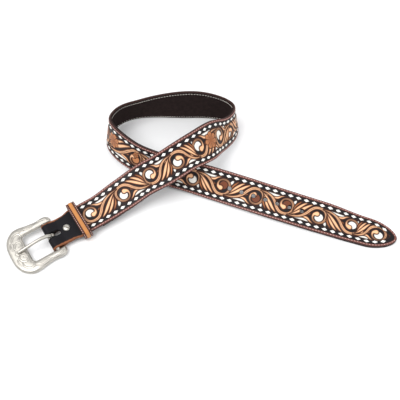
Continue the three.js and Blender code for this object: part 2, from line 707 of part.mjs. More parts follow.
// The angle that lays the frame on the surface, turned down about the bar.
function restAngle() {
  const frontLow = (angle) => {
    let lowest = Infinity;
    for (const row of FRAME_EDGE) {
      for (const side of [-1, 1]) {
        const corner = vector(
          BUCKLE_BEVEL - row.forward * BUCKLE_REACH,
          side * (row.out * (BUCKLE_WIDTH / 2) - BUCKLE_BEVEL),
          -BUCKLE_THICKNESS / 2);
        corner.applyAxisAngle(vector(0, 1, 0), angle);
        lowest = Math.min(lowest, corner.applyMatrix4(END_MATRIX).z);
      }
    }
    return lowest;
  };
  let low = degrees(-30);
  let high = degrees(30);
  for (let k = 0; k < 30; k += 1) {
    const middle = (low + high) / 2;
    if (frontLow(middle) > 0) high = middle;
    else low = middle;
  }
  return (low + high) / 2;
}

// The concho on the hump: dish, twelve-petalled star, dome and hidden post.
function makeConcho() {
  const radius = CONCHO_DIAMETER / 2;
  const dome = CONCHO_DOME_DIAMETER / 2;
  const dish = new THREE.LatheGeometry([
    new THREE.Vector2(0, 0),
    new THREE.Vector2(radius, 0),
    new THREE.Vector2(radius, CONCHO_RIM_HEIGHT * 0.6),
    new THREE.Vector2(radius * 0.97, CONCHO_RIM_HEIGHT),
    new THREE.Vector2(radius * 0.93, CONCHO_RIM_HEIGHT * 0.8),
    new THREE.Vector2(radius * 0.6, CONCHO_DISH_HEIGHT * 0.95),
    new THREE.Vector2(dome, CONCHO_DISH_HEIGHT),
    new THREE.Vector2(dome, CONCHO_DISH_HEIGHT + CONCHO_DOME_HEIGHT * 0.45),
    new THREE.Vector2(dome * 0.72, CONCHO_DISH_HEIGHT + CONCHO_DOME_HEIGHT * 0.85),
    new THREE.Vector2(0, CONCHO_DISH_HEIGHT + CONCHO_DOME_HEIGHT),
  ], CONCHO_SIDES);
  dish.rotateX(Math.PI / 2);
  const star = new THREE.Shape();
  const tip = radius * CONCHO_PETAL_TIP_SHARE;
  const waist = radius * CONCHO_PETAL_WAIST_SHARE;
  const corners = [];
  for (let k = 0; k < 2 * CONCHO_PETALS; k += 1) {
    const reach = k % 2 === 0 ? tip : waist;
    const angle = (k * Math.PI) / CONCHO_PETALS;
    corners.push(new THREE.Vector2(reach * Math.cos(angle), reach * Math.sin(angle)));
  }
  star.setFromPoints(corners);
  const petals = new THREE.ExtrudeGeometry(star, {
    depth: CONCHO_PETAL_HEIGHT + CONCHO_RIM_HEIGHT * 0.6, bevelEnabled: false,
  });
  petals.translate(0, 0, CONCHO_RIM_HEIGHT * 0.4);
  const post = rod(CONCHO_POST_DIAMETER, -(TOOLED_PLY + PIECE_GAP / 2), CONCHO_RIM_HEIGHT, HOLE_SIDES);
  const body = solidOf(dish).add(solidOf(petals)).add(post);
  const seat = THICKNESS / 2 + PIECE_GAP + faceBulge(BACK_AT, radius + COURSE_STEP);
  return onStrap(body.translate([0, 0, seat]), BACK_AT);
}

function material(name) {
  return new THREE.MeshStandardMaterial({ name, ...MATERIALS[name] });
}

function node(name, body, finish) {
  const mesh = new THREE.Mesh(geometryOf(body), material(finish));
  mesh.name = name;
  return mesh;
}

const belt = new THREE.Group();
belt.add(node('strap', makeStrap(), 'tooled_leather'));
belt.add(node('lining', makeLining(), 'lining_leather'));
belt.add(node('keeper', makeKeeper(), 'keeper_leather'));
belt.add(node('fold_screw', makeScrew(), 'buckle_silver'));
belt.add(node('concho', makeConcho(), 'concho_metal'));

// The buckle turns as one about its bar, and the prong turns about the same bar.
const buckle = new THREE.Group();
buckle.matrixAutoUpdate = false;
buckle.matrix.copy(END_MATRIX).multiply(new THREE.Matrix4().makeRotationY(restAngle()));
buckle.add(node('buckle_frame', makeFrame(), 'buckle_silver'));
buckle.add(node('prong', makeProng(), 'buckle_silver'));
belt.add(buckle);

// The origin is the bottom centre of the whole belt.
belt.updateMatrixWorld(true);
const bounds = new THREE.Box3().setFromObject(belt, true);
const middle = bounds.getCenter(vector(0, 0, 0));
const whole = new THREE.Group();
belt.position.set(-middle.x, -middle.y, -bounds.min.z);
whole.add(belt);
whole.updateMatrixWorld(true);

export default whole;
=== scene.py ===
"""Dresses the western tooled belt: carved leather, lace, thread, silver and the studio.

Lengths inside the classes are millimetres along the strap (along), across it
(across) and out of its tooled face (level). Meshes are placed in metres.
"""

from __future__ import annotations

import json
import logging
import math
from dataclasses import dataclass, field
from enum import Enum
from typing import Any, Callable, Sequence

import bmesh
import bpy
import numpy as np
from mathutils import Matrix, Quaternion, Vector

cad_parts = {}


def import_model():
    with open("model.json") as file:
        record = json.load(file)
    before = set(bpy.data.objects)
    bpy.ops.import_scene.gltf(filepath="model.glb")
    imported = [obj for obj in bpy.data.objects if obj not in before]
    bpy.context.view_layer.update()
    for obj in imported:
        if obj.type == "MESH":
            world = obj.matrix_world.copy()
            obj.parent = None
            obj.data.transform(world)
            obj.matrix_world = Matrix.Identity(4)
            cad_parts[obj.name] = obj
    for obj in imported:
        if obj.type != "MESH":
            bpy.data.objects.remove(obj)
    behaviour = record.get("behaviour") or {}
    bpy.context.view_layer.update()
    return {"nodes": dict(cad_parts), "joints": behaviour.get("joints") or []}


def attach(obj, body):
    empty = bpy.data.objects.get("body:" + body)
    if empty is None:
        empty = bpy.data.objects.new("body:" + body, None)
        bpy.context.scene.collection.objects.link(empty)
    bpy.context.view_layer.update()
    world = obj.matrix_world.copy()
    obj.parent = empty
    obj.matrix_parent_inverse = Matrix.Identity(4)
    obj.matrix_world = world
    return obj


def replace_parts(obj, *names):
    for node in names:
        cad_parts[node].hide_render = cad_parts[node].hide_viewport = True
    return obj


LOG = logging.getLogger("western_belt")
METRES = 0.001
MERGE = 2e-6
ON_EDGE = 1e-3
SNAP_SHARE = 0.71

Array = np.ndarray


class Tone(Enum):
    """Named colours of the dyes, threads and metals, as sRGB bytes."""

    TAN = (226, 173, 132)
    TAN_DEEP = (172, 106, 64)
    ANTIQUE = (58, 26, 14)
    GROUND = (20, 16, 18)
    INLAY = (240, 236, 228)
    EYE_BROWN = (112, 60, 36)
    RIM = (122, 76, 68)
    EDGE = (58, 34, 28)
    PETAL = (200, 132, 86)
    PETAL_DEEP = (92, 46, 28)
    NECK = (16, 14, 19)
    NECK_EDGE = (142, 88, 58)
    SUEDE = (46, 36, 35)
    LACE = (246, 244, 238)
    THREAD = (226, 190, 180)
    LINING_THREAD = (238, 232, 222)
    KEEPER = (190, 126, 70)
    KEEPER_EDGE = (72, 36, 24)
    SILVER = (190, 186, 178)
    SILVER_LINE = (92, 86, 80)
    CONCHO_FIELD = (134, 118, 62)
    CONCHO_FIELD_DEEP = (84, 70, 34)
    COPPER = (224, 128, 92)

    def linear(self) -> Array:
        """Returns the colour as three linear values."""
        value = np.array(self.value, float) / 255.0
        return np.where(value <= 0.04045, value / 12.92, ((value + 0.055) / 1.055) ** 2.4)


class Slot(Enum):
    """The record's material slots."""

    TOOLED = "tooled_leather"
    LINING = "lining_leather"
    KEEPER = "keeper_leather"
    SILVER = "buckle_silver"
    CONCHO = "concho_metal"


class Body(Enum):
    """The moving bodies of the belt."""

    STRAP = "strap"
    BUCKLE = "buckle"
    PRONG = "prong"


@dataclass(frozen=True)
class Finish:
    """A surface finish, whose colour comes from the piece's dye attribute."""

    name: str
    roughness: float
    metallic: float = 0.0
    mottle: float = 0.12
    mottle_scale: float = 260.0
    grain: float = 0.0
    grain_scale: float = 2200.0
    shine: float = 0.5
    sheen: float = 0.0
    wear: float = 0.08

    def material(self) -> bpy.types.Material:
        """Builds the shader, or returns it if it is there already.

        Returns:
            The material named for this finish.
        """
        if self.name in bpy.data.materials:
            return bpy.data.materials[self.name]
        made = bpy.data.materials.new(self.name)
        made.use_nodes = True
        nodes = made.node_tree.nodes
        links = made.node_tree.links
        shader = nodes["Principled BSDF"]
        shader.inputs["Metallic"].default_value = self.metallic
        shader.inputs["Specular IOR Level"].default_value = self.shine
        shader.inputs["Sheen Weight"].default_value = self.sheen
        dye = nodes.new("ShaderNodeAttribute")
        dye.attribute_name = "dye"
        place = nodes.new("ShaderNodeTexCoord")
        cloud = nodes.new("ShaderNodeTexNoise")
        cloud.inputs["Scale"].default_value = self.mottle_scale
        cloud.inputs["Detail"].default_value = 5.0
        links.new(place.outputs["Object"], cloud.inputs["Vector"])
        shade = nodes.new("ShaderNodeMapRange")
        shade.inputs["From Min"].default_value = 0.3
        shade.inputs["From Max"].default_value = 0.7
        shade.inputs["To Min"].default_value = 1.0 - self.mottle
        shade.inputs["To Max"].default_value = 1.0 + self.mottle * 0.5
        links.new(cloud.outputs["Fac"], shade.inputs["Value"])
        tint = nodes.new("ShaderNodeVectorMath")
        tint.operation = "SCALE"
        links.new(dye.outputs["Color"], tint.inputs[0])
        links.new(shade.outputs["Result"], tint.inputs["Scale"])
        links.new(tint.outputs["Vector"], shader.inputs["Base Color"])
        rub = nodes.new("ShaderNodeMapRange")
        rub.inputs["From Min"].default_value = 0.3
        rub.inputs["From Max"].default_value = 0.7
        rub.inputs["To Min"].default_value = self.roughness - self.wear
        rub.inputs["To Max"].default_value = self.roughness + self.wear
        links.new(cloud.outputs["Fac"], rub.inputs["Value"])
        links.new(rub.outputs["Result"], shader.inputs["Roughness"])
        if self.grain > 0:
            pores = nodes.new("ShaderNodeTexNoise")
            pores.inputs["Scale"].default_value = self.grain_scale
            pores.inputs["Detail"].default_value = 3.0
            links.new(place.outputs["Object"], pores.inputs["Vector"])
            bump = nodes.new("ShaderNodeBump")
            bump.inputs["Strength"].default_value = self.grain
            bump.inputs["Distance"].default_value = 0.0002
            links.new(pores.outputs["Fac"], bump.inputs["Height"])
            links.new(bump.outputs["Normal"], shader.inputs["Normal"])
        return made


TOOLED_FINISH = Finish("tooled_leather_finish", roughness=0.46, grain=0.25, shine=0.22)
SUEDE_FINISH = Finish("suede_finish", roughness=0.95, mottle=0.3, grain=0.6, grain_scale=1500, shine=0.08)
NECK_FINISH = Finish("neck_finish", roughness=0.5, grain=0.2, shine=0.16)
KEEPER_FINISH = Finish("keeper_finish", roughness=0.45, grain=0.25, shine=0.3)
LACE_FINISH = Finish("lace_finish", roughness=0.6, mottle=0.06, grain=0.15, shine=0.25)
THREAD_FINISH = Finish("thread_finish", roughness=0.8, mottle=0.1, shine=0.1)
SILVER_FINISH = Finish("silver_finish", roughness=0.4, metallic=1.0, mottle=0.1, wear=0.08)
CONCHO_FINISH = Finish("concho_finish", roughness=0.36, metallic=1.0, mottle=0.1, wear=0.1)


def smooth(low: float, high: float, value: Array) -> Array:
    """Eases from 0 at low to 1 at high.

    Args:
        low: Where the ease starts.
        high: Where it ends.
        value: The values to ease.

    Returns:
        The eased values, between 0 and 1.
    """
    t = np.clip((value - low) / (high - low), 0.0, 1.0)
    return t * t * (3.0 - 2.0 * t)


def unit(rows: Array) -> Array:
    """Returns the rows scaled to length one."""
    return rows / np.linalg.norm(rows, axis=-1, keepdims=True)


def catmull_rom(points: Array, count: int) -> Array:
    """A smooth line through points.

    Args:
        points: The points, one to a row, with any number of columns.
        count: How many places to return.

    Returns:
        The places along the line, one to a row.
    """
    points = np.asarray(points, float)
    ghost = np.vstack([2 * points[0] - points[1], points, 2 * points[-1] - points[-2]])
    place = np.linspace(0, len(points) - 1, count)
    k = np.minimum(place.astype(int), len(points) - 2)
    t = (place - k)[:, None]
    a, b, c, d = ghost[k], ghost[k + 1], ghost[k + 2], ghost[k + 3]
    return blend(a, b, c, d, t)


def blend(a: Array, b: Array, c: Array, d: Array, t: Array) -> Array:
    """Mixes four neighbours into a smooth line's value.

    Args:
        a: The value before.
        b: The value where t is 0.
        c: The value where t is 1.
        d: The value after.
        t: Shares of the way from b to c.

    Returns:
        The mixed values.
    """
    slope, bend, twist = c - a, 2 * a - 5 * b + 4 * c - d, 3 * b - a - 3 * c + d
    return 0.5 * (2 * b + slope * t + bend * t * t + twist * t ** 3)


class MonotoneCurve:
    """A cubic through the rows of a table that never overshoots a row."""

    def __init__(self, at: Sequence[float], value: Sequence[float]) -> None:
        """Works out the tangents.

        Args:
            at: The rows' places, rising.
            value: The value at each row.
        """
        self.at = np.array(at, float)
        self.value = np.array(value, float)
        span = np.diff(self.at)
        slope = np.diff(self.value) / span
        tangent = np.zeros(len(self.at))
        tangent[0], tangent[-1] = slope[0], slope[-1]
        for k in range(1, len(self.at) - 1):
            if slope[k - 1] * slope[k] > 0:
                first = 2 * span[k] + span[k - 1]
                second = span[k] + 2 * span[k - 1]
                tangent[k] = (first + second) / (first / slope[k - 1] + second / slope[k])
        self.tangent = tangent

    def __call__(self, place: Array) -> Array:
        """Reads the curve.

        Args:
            place: Places along the table.

        Returns:
            The value at each.
        """
        place = np.asarray(place, float)
        k = np.clip(np.searchsorted(self.at, place, side="left") - 1, 0, len(self.at) - 2)
        span = self.at[k + 1] - self.at[k]
        t = np.clip((place - self.at[k]) / span, 0, 1)
        rise = self.value[k + 1] - self.value[k]
        a, b = self.tangent[k] * span, self.tangent[k + 1] * span
        return self.value[k] + a * t + (3 * rise - 2 * a - b) * t * t + (a + b - 2 * rise) * t ** 3


@dataclass(frozen=True)
class Swelling:
    """A stretch where the strap is wider."""

    at: float
    reach: float
    width: float


@dataclass
class Course:
    """The strap's sizes and the way it lies, in the same formulas as the part."""

    length: float = 858.0
    strap_width: float = 38.0
    back_at: float = 363.0
    thickness: float = 4.0
    tooled_ply: float = 2.2
    fold_ply: float = 1.8
    piece_gap: float = 0.3
    crossing_gap: float = 1.2
    floor_gap: float = 0.3
    bar_radius: float = 2.3
    neck_width: float = 33.0
    end_length: float = 54.0
    fold_ease: float = 13.0
    keeper_at: float = 35.0
    keeper_breadth: float = 10.0
    tip_length: float = 33.0
    tip_roundness: float = 1.75
    step_aim: float = 2.0
    swellings: tuple[Swelling, ...] = (
        Swelling(217.0, 46.0, 43.0),
        Swelling(363.0, 72.0, 49.0),
        Swelling(509.0, 46.0, 43.0),
    )
    rows: tuple[tuple[float, float, float, float], ...] = (
        (0.000, 33, 7, 0.12), (0.063, 33, 7, 0.18), (0.107, 31, 20, 0.29),
        (0.157, 13, 32, 0.66), (0.207, 35, 44, 1.00), (0.256, 53, 55, 0.70),
        (0.295, 55, 69, 0.34), (0.335, 82, 80, 0.11), (0.374, 166, 83, 0.00),
        (0.423, 181, 84, 0.00), (0.473, 183, 81, 0.05), (0.512, 204, 76, 0.06),
        (0.552, 255, 78, 0.08), (0.591, 307, 76, 0.10), (0.640, 331, 70, 0.08),
        (0.700, 343, 59, 0.01), (0.769, 341, 40, 0.00), (0.848, 340, 21, 0.02),
        (0.900, 341, 16, 0.00), (0.967, 342, 0, 0.00), (1.000, 342, 0, 0.00),
    )
    shift: Array = field(default_factory=lambda: np.zeros(3))

    def __post_init__(self) -> None:
        """Lays the course with the smallest rise that clears the crossing."""
        share = [row[0] for row in self.rows]
        self.heading = MonotoneCurve(share, [row[1] for row in self.rows])
        self.lean = MonotoneCurve(share, [row[2] for row in self.rows])
        self.lift = MonotoneCurve(share, [row[3] for row in self.rows])
        self.fold_inner = self.bar_radius + self.piece_gap
        self.fold_outer = self.fold_inner + self.tooled_ply
        self.mid_over_bar = self.piece_gap / 2 + self.tooled_ply - self.thickness / 2
        low, high = 0.0, 3 * self.swellings[1].width
        while high - low > 0.2:
            middle = (low + high) / 2
            if self.crossing(self.lay(middle)) < self.thickness + self.crossing_gap:
                low = middle
            else:
                high = middle
        self.frames = self.lay(high)
        self.bar_centre = self.frames["centre"][0] - self.frames["outward"][0] * self.mid_over_bar
        self.bar_axes = np.stack([self.frames[key][0] for key in ("forward", "across", "outward")], axis=1)

    def body_width(self, along: Array) -> Array:
        """The strap's width before its tip is cut.

        Args:
            along: Distances along the strap.

        Returns:
            Its full width at each.
        """
        along = np.asarray(along, float)
        width = np.full(along.shape, self.strap_width)
        for swelling in self.swellings:
            t = np.abs(along - swelling.at) / swelling.reach
            more = (swelling.width - self.strap_width) * np.cos(t * np.pi / 2) ** 2
            width = width + np.where(t < 1, more, 0)
        return width

    def half_width(self, along: Array) -> Array:
        """The strap's half width.

        Args:
            along: Distances along the strap.

        Returns:
            Its half width at each, with the neck and the rounded point.
        """
        along = np.asarray(along, float)
        neck_end = self.keeper_at - self.keeper_breadth / 2
        ease = smooth(neck_end - self.keeper_breadth, neck_end, along)
        body = (self.neck_width + (self.body_width(along) - self.neck_width) * ease) / 2
        t = np.clip((along - (self.length - self.tip_length)) / self.tip_length, 0, 1)
        return body * (1 - t ** self.tip_roundness) ** (1 / self.tip_roundness)

    def rows_to_tip(self, first: float, pitch: float, tip_rows: int) -> Array:
        """Rows of a ply that ends in the rounded point.

        Args:
            first: Where the ply starts.
            pitch: Distance between rows before the tip.
            tip_rows: Number of rows in the tip.

        Returns:
            Distances from the bar.
        """
        body_end = self.length - self.tip_length
        body = np.linspace(first, body_end, round((body_end - first) / pitch) + 1)
        angle = np.linspace(0, np.pi / 2, tip_rows)[1:]
        return np.concatenate([body, body_end + self.tip_length * np.sin(angle)])

    def edge_normal(self, along: Array) -> tuple[Array, Array]:
        """The direction out of the strap's upper edge.

        Args:
            along: Distances along the strap.

        Returns:
            The direction's parts along and across the strap.
        """
        along = np.asarray(along, float)
        step = 0.02
        ahead = np.minimum(along + step, self.length)
        behind = ahead - 2 * step
        slope = (self.half_width(ahead) - self.half_width(behind)) / (2 * step)
        size = np.hypot(slope, 1.0)
        return -slope / size, 1.0 / size

    def lay(self, rise: float) -> dict[str, Array]:
        """Lays the middle of the strap.

        Args:
            rise: How high the strap goes over its tip end.

        Returns:
            Rows of along, centre, forward, across and outward.
        """
        count = round(self.length / self.step_aim)
        step = self.length / count
        along = np.arange(count + 1) * step

        def table_height(where: Array) -> Array:
            """The middle's height past the buckle end.

            Args:
                where: Distances along the strap.

            Returns:
                The height of its middle.
            """
            share = where / self.length
            lean = np.radians(self.lean(share))
            on_edge = self.body_width(where) / 2 * np.sin(lean)
            return on_edge + self.thickness / 2 * np.cos(lean) + self.lift(share) * rise

        end_lean = math.radians(self.rows[0][2])
        bar_height = (self.neck_width / 2) * math.sin(end_lean) + self.floor_gap
        bar_height += (self.fold_outer + self.mid_over_bar) * math.cos(end_lean)
        climb = (float(table_height(np.array(self.end_length))) - bar_height) / self.end_length

        def height(where: Array) -> Array:
            """Returns the middle's height anywhere."""
            return np.where(where < self.end_length, bar_height + climb * where, table_height(where))

        ahead = np.minimum(along + step, self.length)
        slope = np.where(
            along < self.end_length, climb, (height(ahead) - height(along - step)) / (ahead - along + step))
        heading = np.radians(self.heading(along / self.length))
        lean = np.radians(self.lean(along / self.length))
        level = np.sqrt(np.maximum(0.1, 1 - slope * slope))
        forward = np.stack([np.cos(heading) * level, np.sin(heading) * level, slope], axis=1)
        left = np.stack([-np.sin(heading), np.cos(heading), np.zeros_like(heading)], axis=1)
        over = np.cross(forward, left)
        across = left * np.cos(lean)[:, None] + over * np.sin(lean)[:, None]
        outward = np.cross(forward, across)
        run = np.vstack([np.zeros(2), np.cumsum(forward[:-1, :2] * step, axis=0)])
        centre = np.column_stack([run, height(along)])
        return {"along": along, "centre": centre, "forward": forward, "across": across, "outward": outward}

    def crossing(self, frames: dict[str, Array]) -> float:
        """Nearest distance between the strap and its tip end.

        Args:
            frames: The rows that lay() returns.

        Returns:
            The distance in millimetres.
        """
        def ribbon(first: float, last: float) -> Array:
            """Points of a stretch of the strap.

            Args:
                first: Share of the length where the ribbon starts.
                last: Share where it ends.

            Returns:
                Its points, one to a row.
            """
            share = frames["along"] / self.length
            pick = (share >= first) & (share <= last)
            half = self.body_width(frames["along"][pick]) / 2
            spread = np.arange(-1, 1.001, 0.1)
            points = frames["centre"][pick][:, None] + (
                frames["across"][pick][:, None] * (half[:, None] * spread)[..., None])
            return points.reshape(-1, 3)

        upper, lower = ribbon(0.1, 0.3), ribbon(0.58, 0.82)
        middle = upper.mean(axis=0)
        upper, lower = upper - middle, lower - middle
        square = (upper ** 2).sum(1)[:, None] + (lower ** 2).sum(1)[None] - 2 * upper @ lower.T
        return math.sqrt(max(float(square.min()), 0.0))

    def at(self, along: Array, key: str) -> Array:
        """Smooth value of one column of the frames.

        Args:
            along: Distances along the strap.
            key: centre, forward, across or outward.

        Returns:
            A row of three numbers for each distance.
        """
        table = self.frames[key]
        ghost = np.vstack([2 * table[0] - table[1], table, 2 * table[-1] - table[-2]])
        place = np.clip(np.asarray(along, float) / (self.length / (len(table) - 1)), 0, len(table) - 1)
        k = np.minimum(place.astype(int), len(table) - 2)
        t = (place - k)[..., None]
        a, b, c, d = ghost[k], ghost[k + 1], ghost[k + 2], ghost[k + 3]
        value = blend(a, b, c, d, t)
        return value if key == "centre" else unit(value)

    def place(self, along: Array, across: Array, level: Array) -> Array:
        """Puts strap places into the belt's frame.

        Args:
            along: Distances from the bar.
            across: Distances from the middle line.
            level: Heights out of the strap's mid plane.

        Returns:
            Points in metres.
        """
        points = self.at(along, "centre") + self.at(along, "across") * across[..., None]
        points = points + self.at(along, "outward") * level[..., None]
        return (points + self.shift) * METRES

    def place_at_bar(self, points: Array, turn: Array | None = None) -> Array:
        """Puts points in the buckle end's axes into the belt's frame.

        Args:
            points: Rows of x along the strap from the bar, y across, z outwards.
            turn: The buckle's own turn about its bar.

        Returns:
            Points in metres.
        """
        if turn is not None:
            points = points @ turn.T
        return (points @ self.bar_axes.T + self.bar_centre + self.shift) * METRES

    def strap_axes(self, along: Array) -> Array:
        """Returns a matrix of forward, across and outward columns for each place."""
        return np.stack([self.at(along, key) for key in ("forward", "across", "outward")], axis=-1)

    def edge_line(self, inset: float, start: float, pitch: float) -> tuple[Array, Array, Array]:
        """Evenly spaced places that follow the strap's edge.

        Args:
            inset: Distance in from the edge.
            start: Where along the strap the line starts.
            pitch: Distance between places.

        Returns:
            Along and across of each place on the upper side, and its turn in radians.
        """
        body = np.linspace(start, self.length - self.tip_length, 3000)
        t = np.sin(np.linspace(0, np.pi / 2, 400))[1:]
        along = np.concatenate([body, self.length - self.tip_length + self.tip_length * t])
        out_along, out_across = self.edge_normal(along)
        x = along - inset * out_along
        y = self.half_width(along) - inset * out_across
        keep = y > 0
        x, y = x[keep], y[keep]
        run = np.concatenate([[0], np.cumsum(np.hypot(np.diff(x), np.diff(y)))])
        wanted = np.arange(pitch / 2, run[-1], pitch)
        here_x, here_y = np.interp(wanted, run, x), np.interp(wanted, run, y)
        next_x, next_y = np.interp(wanted + 0.5, run, x), np.interp(wanted + 0.5, run, y)
        last_x, last_y = np.interp(wanted - 0.5, run, x), np.interp(wanted - 0.5, run, y)
        return here_x, here_y, np.arctan2(next_y - last_y, next_x - last_x)


@dataclass
class Canvas:
    """Places on a surface with the height and colour that tooling gives them."""

    x: Array
    y: Array
    height: Array
    colour: Array

    def paint(self, where: Array, tone: Array, amount: Array | float = 1.0) -> None:
        """Mixes a colour in.

        Args:
            where: Index of the places.
            tone: A linear colour.
            amount: How much of it, 0 to 1.
        """
        share = np.broadcast_to(np.asarray(amount, float), self.x[where].shape)[:, None]
        self.colour[where] = self.colour[where] * (1 - share) + tone * share


@dataclass(frozen=True)
class Stroke:
    """A carved stem or leaf: points of its middle line, each with its half width."""

    points: tuple[tuple[float, float, float], ...]
    vein: float = 0.0
    tone: Tone = Tone.TAN

    def distance(self, x: Array, y: Array, scale: float) -> tuple[Array, Array, Array]:
        """How far places lie from the stroke.

        Args:
            x: Places' first coordinate in the motif.
            y: Places' second coordinate.
            scale: Widens the stroke.

        Returns:
            Distance outside its edge, distance from its middle line, share along it.
        """
        line = catmull_rom(np.array(self.points), 6 * len(self.points))
        edge = np.full(x.shape, 1e6)
        middle = np.full(x.shape, 1e6)
        share = np.zeros(x.shape)
        total = len(line) - 1
        for k in range(total):
            ax, ay, aw = line[k]
            bx, by, bw = line[k + 1]
            dx, dy = bx - ax, by - ay
            size = dx * dx + dy * dy + 1e-12
            t = np.clip(((x - ax) * dx + (y - ay) * dy) / size, 0, 1)
            away = np.hypot(x - ax - t * dx, y - ay - t * dy)
            here = away - (aw + (bw - aw) * t) * scale
            nearer = here < edge
            edge = np.where(nearer, here, edge)
            middle = np.where(nearer, away, middle)
            share = np.where(nearer, (k + t) / total, share)
        return edge, middle, share


@dataclass(frozen=True)
class Motif:
    """One turn of the scroll: inlaid patches and eye, leaves, and the stem as the last leaf.

    The stem before tail is stretched, so that it reaches the turn before.
    """

    leaves: tuple[Stroke, ...]
    patches: tuple[tuple[float, float, float, float, float], ...]
    eye: tuple[float, float, float]
    tail: float = -9.0
    stem: float = 29.0
    least_pitch: float = 30.0
    first: float = -37.0
    last: float = 16.0
    half: float = 12.5


SCROLL = Motif(
    leaves=(
        Stroke(((2.5, 9.8, 0.5), (8.5, 8.9, 1.2), (12.2, 5.2, 1.5), (13.9, 0.8, 0.9))),
        Stroke(((-17.0, -4.2, 0.5), (-12.8, -2.2, 1.1), (-9.6, -0.6, 1.0)), tone=Tone.TAN_DEEP),
        Stroke(((-22.5, -8.3, 0.6), (-16.5, -6.0, 1.3), (-11.5, -6.3, 1.6), (-7.6, -9.0, 1.2),
                (-3.8, -10.6, 0.7))),
        Stroke(((-28.5, -4.6, 0.4), (-28.0, 0.4, 1.0), (-26.4, 4.6, 1.3), (-23.8, 8.0, 1.1),
                (-22.2, 10.0, 0.7)), tone=Tone.TAN_DEEP),
        Stroke(((-29.5, -6.4, 0.5), (-26.4, -1.4, 1.3), (-22.8, 3.6, 1.8), (-18.9, 7.9, 1.5),
                (-15.6, 10.5, 0.9))),
        Stroke(((-31.0, -7.6, 0.6), (-25.0, -3.6, 1.5), (-19.3, 1.6, 2.0), (-14.3, 6.6, 1.7),
                (-9.6, 10.4, 1.0))),
        Stroke(((-34.0, -8.9, 0.7), (-26.0, -8.4, 1.2), (-19.0, -5.8, 1.6), (-13.6, -1.0, 1.8),
                (-9.8, 4.3, 1.9), (-5.2, 8.2, 1.9), (0.5, 9.2, 1.8), (5.7, 7.3, 1.7), (8.4, 2.8, 1.6),
                (8.2, -2.4, 1.5), (5.4, -6.8, 1.4), (0.6, -8.4, 1.3), (-4.0, -6.8, 1.2),
                (-6.0, -3.0, 1.3), (-5.0, 0.6, 1.9), (-1.9, 1.9, 2.9)), vein=0.28),
    ),
    patches=((-17.0, -9.2, 7.5, 1.9, -4.0), (-29.5, 6.4, 3.4, 1.3, 62.0), (12.8, 9.4, 4.8, 1.3, -30.0)),
    eye=(1.0, -1.8, 4.6),
)


@dataclass(frozen=True)
class Turn:
    """Where one turn of the scroll sits on the strap."""

    from_back: float
    side: int
    hand: int
    eye: Tone = Tone.INLAY


@dataclass(frozen=True)
class Blossom:
    """A carved flower on the strap."""

    at: float
    across: float
    radius: float
    petals: int = 5


